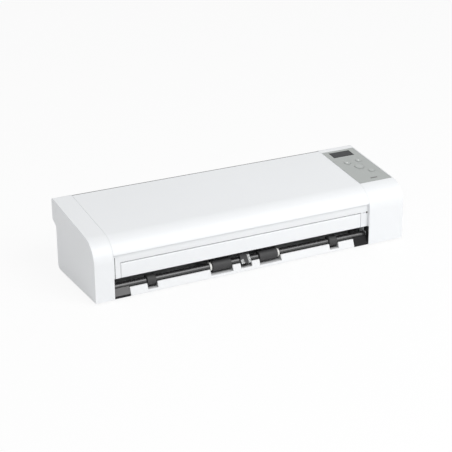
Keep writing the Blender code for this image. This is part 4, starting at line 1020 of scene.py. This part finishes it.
class SCANNER_OT_drive(Operator):
    """Motor, gears and their plate"""

    bl_idname = "scanner.drive"
    bl_label = "Drive"

    def execute(self, context):
        detail, looks = settings(context)
        dress_all(("exit_gear", "feed_gear", "front_idler_gear", "rear_idler_gear"),
                  looks["white_acetal"], detail.fine_edge / 4)
        dressed("motor_pinion", looks["brass"], detail.fine_edge / 4)
        dressed("gear_plate", looks["steel"], detail.fine_edge, flats=False)
        dressed("drive_motor", looks["turned_steel"], detail.fine_edge * 2)
        self.motor_end(detail, looks)
        return {"FINISHED"}

    def motor_end(self, detail, looks):
        """Plastic end cap of the motor with a bearing boss and two terminals."""
        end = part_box("drive_motor")[1].x
        (y, z), radius = axis_of("drive_motor")
        for name, look, proud, inner, outer in (
                ("motor_cap", "black_plastic", CAP_PROUD, BOSS_SHARE, CAP_SHARE),
                ("motor_boss", "brass", 2 * CAP_PROUD, BOSS_BORE_SHARE, BOSS_SHARE)):
            profile = ring_profile(end - CAP_SET, end + proud, radius * inner, radius * outer,
                                   detail.fine_edge)
            trim(name, turned(profile, (y, z)), looks, look)
        wide, thin = TERMINAL_HALF
        bm = bmesh.new()
        for side in (-1, 1):
            middle = y + side * radius * TERMINAL_SHARE
            slab(bm, (end, middle - wide, z - thin), (end + TERMINAL, middle + wide, z + thin))
        rounded(bm, bm.edges[:], SMALL_EDGE)
        trim("motor_terminals", bm, looks, "brass")


class SCANNER_OT_boards(Operator):
    """Main board with the data and power sockets"""

    bl_idname = "scanner.boards"
    bl_label = "Boards and sockets"

    def execute(self, context):
        detail, looks = settings(context)
        dressed("main_board", looks["board_green"], detail.fine_edge)
        dressed("usb_socket", looks["steel"], detail.fine_edge)
        dressed("power_socket", looks["black_plastic"], detail.fine_edge)
        self.contacts(looks)
        self.chips(detail, looks)
        return {"FINISHED"}

    def contacts(self, looks):
        """Tongue with its contacts in the data socket, and the pin in the power socket."""
        low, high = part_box("usb_socket")
        middle, root, tip = (low.x + high.x) / 2, high.y - SOCKET_DEPTH, high.y - TONGUE_SETBACK
        top = (low.z + high.z) / 2 + TONGUE_HALF
        bm = bmesh.new()
        slab(bm, (low.x + TONGUE_INSET, root, top - 2 * TONGUE_HALF), (high.x - TONGUE_INSET, tip, top))
        rounded(bm, bm.edges[:], SMALL_EDGE)
        trim("data_tongue", bm, looks, "black_plastic")
        bm = bmesh.new()
        for i in range(CONTACTS):
            x = middle + (i - (CONTACTS - 1) / 2) * CONTACT_PITCH
            slab(bm, (x - CONTACT_PITCH / 4, root, top - CONTACT_HALF),
                 (x + CONTACT_PITCH / 4, tip - CONTACT_SETBACK, top + CONTACT_HALF))
        trim("data_contacts", bm, looks, "brass")
        low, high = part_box("power_socket")
        root, tip = high.y - SOCKET_DEPTH, high.y - TONGUE_SETBACK
        centre = ((low.x + high.x) / 2, (root + tip) / 2, (low.z + high.z) / 2)
        bm = bmesh.new()
        disc(bm, centre, PIN_R, tip - root, (0, 1, 0))
        ends = [edge for edge in bm.edges if all(vert.co.y > centre[1] for vert in edge.verts)]
        rounded(bm, ends, PIN_R / 3, segments=3)
        trim("power_pin", bm, looks, "steel")

    def chips(self, detail, looks):
        """Chips, connectors and capacitors that stand on the main board."""
        low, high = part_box("main_board")
        long, deep = high.x - low.x, high.y - low.y
        top = high.z - BOARD_SET
        bm = bmesh.new()
        for share, depth, *size in CHIPS:
            standing(bm, low.x + long * share, low.y + deep * depth, top, size)
        rounded(bm, bm.edges[:], detail.fine_edge)
        trim("board_chips", bm, looks, "black_plastic")
        bm = bmesh.new()
        for share, depth in CONNECTORS:
            x, y = low.x + long * share, low.y + deep * depth
            standing(bm, x, y, top, CONNECTOR)
            for side in (-1, 1):
                standing(bm, x + side * EAR_X, y, top, EAR)
        rounded(bm, bm.edges[:], detail.fine_edge / 2)
        trim("board_connectors", bm, looks, "white_acetal")
        bm = bmesh.new()
        middle = top + CAPACITOR_TALL / 2
        for share, depth in CAPACITORS:
            place = (low.x + long * share, low.y + deep * depth, middle)
            disc(bm, place, CAPACITOR_R, CAPACITOR_TALL, UP)
        rims = [edge for edge in bm.edges if all(vert.co.z > middle for vert in edge.verts)]
        rounded(bm, rims, CAPACITOR_RIM, segments=3)
        trim("board_capacitors", bm, looks, "turned_steel")


class SCANNER_OT_feet(Operator):
    """Rubber feet, bare plate and the painted shade of the cooling slots"""

    bl_idname = "scanner.feet"
    bl_label = "Feet and underside"

    def execute(self, context):
        detail, looks = settings(context)
        dress_all(pair("foot_front") + pair("foot_rear"), looks["foot_rubber"], detail.fine_edge * 2)
        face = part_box("base_shell")[0].z
        self.plate(face, looks)
        self.vents(face, looks)
        return {"FINISHED"}

    def plate(self, face, looks):
        """Bare plate on the underside, with rounded corners."""
        bm = bmesh.new()
        slab(bm, (-PLATE_LENGTH / 2, -PLATE_WIDTH / 2, face - PLATE_THICK),
             (PLATE_LENGTH / 2, PLATE_WIDTH / 2, face + PLATE_THICK))
        rounded(bm, upright(bm), PLATE_CORNER, segments=6)
        trim("bare_plate", bm, looks, "bare_plate")

    def vents(self, face, looks):
        """Row of dark slabs beside the bare plate: painted shade standing for the openings of cooling slots.
        """
        bm = bmesh.new()
        for i in range(VENTS):
            x = VENT_X + (i - (VENTS - 1) / 2) * VENT_PITCH
            slab(bm, (x - VENT_PITCH / 5, -VENT_LENGTH / 2, face - VENT_PROUD),
                 (x + VENT_PITCH / 5, VENT_LENGTH / 2, face + VENT_DEPTH))
        rounded(bm, upright(bm), VENT_PITCH / 6, segments=4)
        # the slabs are painted shade in place of open slots
        trim("vent_slot_shade", bm, looks, "joint_dark")


def seen_directly(tree):
    """1 for rays from the camera, a mirror or glass, otherwise 0."""
    path = tree.nodes.new("ShaderNodeLightPath").outputs
    total = path["Is Camera Ray"]
    for label in ("Is Glossy Ray", "Is Transmission Ray"):
        total = add(tree, "ShaderNodeMath", {0: total, 1: path[label]}, operation="MAXIMUM").outputs[0]
    return total


def either(tree, share, first, second):
    """Mixes two shaders by a share of the second."""
    inputs = {"Fac": share, 1: first.outputs[0], 2: second.outputs[0]}
    return add(tree, "ShaderNodeMixShader", inputs).outputs[0]


def plain_background(tree, level):
    """Even light at a level, seen as plain white by camera, mirror and glass rays."""
    tree.nodes.clear()
    light = add(tree, "ShaderNodeBackground", {"Color": WHITE, "Strength": level})
    white = add(tree, "ShaderNodeBackground", {"Color": WHITE})
    add(tree, "ShaderNodeOutputWorld", {"Surface": either(tree, seen_directly(tree), light, white)})


def studio_floor(glow):
    """Pale floor: plain white with a share of its lit surface, so that the shadow stays."""
    material, shader = fresh("studio floor")
    tree = material.node_tree
    fill(tree, shader, {"Base Color": PALE, "Roughness": FLOOR_ROUGHNESS})
    white = add(tree, "ShaderNodeEmission", {"Color": WHITE})
    share = add(tree, "ShaderNodeMath", {0: seen_directly(tree), 1: glow}, operation="MULTIPLY").outputs[0]
    fill(tree, tree.nodes["Material Output"], {"Surface": either(tree, share, shader, white)})
    return material


def soft_light(name, place, size, power):
    """Square area light that looks at the middle of the part."""
    lamp = bpy.data.lights.new(name, "AREA")
    lamp.size = size
    lamp.energy = power
    light = bpy.data.objects.new(name, lamp)
    light.location = place
    light.rotation_euler = (Vector(LIGHT_AIM) - Vector(place)).to_track_quat("-Z", "Y").to_euler()
    bpy.context.scene.collection.objects.link(light)


class SCANNER_OT_stage(Operator):
    """Pale floor, soft lights and the camera"""

    bl_idname = "scanner.stage"
    bl_label = "Stage"

    def execute(self, context):
        scene = context.scene
        stage = scene.scanner_stage
        scene.view_settings.view_transform = "Standard"
        bm = bmesh.new()
        bmesh.ops.create_grid(bm, x_segments=1, y_segments=1, size=FLOOR_SIZE)
        mesh = bpy.data.meshes.new("floor")
        bm.to_mesh(mesh)
        bm.free()
        mesh.materials.append(studio_floor(stage.floor_glow))
        floor = bpy.data.objects.new("floor", mesh)
        scene.collection.objects.link(floor)
        scene.world = bpy.data.worlds.new("studio")
        scene.world.use_nodes = True
        plain_background(scene.world.node_tree, stage.ambient)
        soft_light("key", KEY_PLACE, KEY_SIZE, stage.key)
        soft_light("fill", FILL_PLACE, FILL_SIZE, stage.fill)
        lens = bpy.data.cameras.new("camera")
        lens.lens = CAMERA_LENS
        lens.shift_x, lens.shift_y = CAMERA_SHIFT
        camera = bpy.data.objects.new("camera", lens)
        level = Vector((0, -math.cos(CAMERA_PITCH), math.sin(CAMERA_PITCH)))
        outward = Matrix.Rotation(CAMERA_YAW, 3, "Z") @ level
        camera.location = CAMERA_TARGET + CAMERA_DISTANCE * outward
        look = (-outward).to_track_quat("-Z", "Y").to_matrix().to_4x4()
        camera.rotation_euler = (look @ Matrix.Rotation(CAMERA_ROLL, 4, "Z")).to_euler()
        scene.collection.objects.link(camera)
        scene.camera = camera
        return {"FINISHED"}


PIECES = (
    SCANNER_OT_case,
    SCANNER_OT_lid,
    SCANNER_OT_exit_front,
    SCANNER_OT_exit_axle,
    SCANNER_OT_sensor,
    SCANNER_OT_panel,
    SCANNER_OT_paper_path,
    SCANNER_OT_drive,
    SCANNER_OT_boards,
    SCANNER_OT_feet,
    SCANNER_OT_stage,
)


class SCANNER_PT_sidebar(Panel):
    """Lists the pieces and their values"""

    bl_label = "Sheet-fed Scanner"
    bl_idname = "SCANNER_PT_sidebar"
    bl_space_type = "VIEW_3D"
    bl_region_type = "UI"
    bl_category = "Scanner"

    def draw(self, context):
        layout = self.layout
        scene = context.scene
        for values in (scene.scanner_finish, scene.scanner_detail, scene.scanner_stage):
            column = layout.box().column()
            for key in values.__annotations__:
                column.prop(values, key)
        for piece in PIECES:
            layout.operator(piece.bl_idname)


CLASSES = (ScannerFinish, ScannerDetail, ScannerStage) + PIECES + (SCANNER_PT_sidebar,)


def register():
    """Adds the classes and the scene's values."""
    for cls in CLASSES:
        bpy.utils.register_class(cls)
    bpy.types.Scene.scanner_finish = PointerProperty(type=ScannerFinish)
    bpy.types.Scene.scanner_detail = PointerProperty(type=ScannerDetail)
    bpy.types.Scene.scanner_stage = PointerProperty(type=ScannerStage)


def unregister():
    """Removes the scene's values and the classes."""
    del bpy.types.Scene.scanner_stage
    del bpy.types.Scene.scanner_detail
    del bpy.types.Scene.scanner_finish
    for cls in reversed(CLASSES):
        bpy.utils.unregister_class(cls)


def main():
    """Makes every piece and the stage."""
    register()
    bpy.ops.scanner.case()
    bpy.ops.scanner.lid()
    bpy.ops.scanner.exit_front()
    bpy.ops.scanner.exit_axle()
    bpy.ops.scanner.sensor()
    bpy.ops.scanner.control_panel()
    bpy.ops.scanner.paper_path()
    bpy.ops.scanner.drive()
    bpy.ops.scanner.boards()
    bpy.ops.scanner.feet()
    bpy.ops.scanner.stage()


if __name__ == "__main__":
    main()
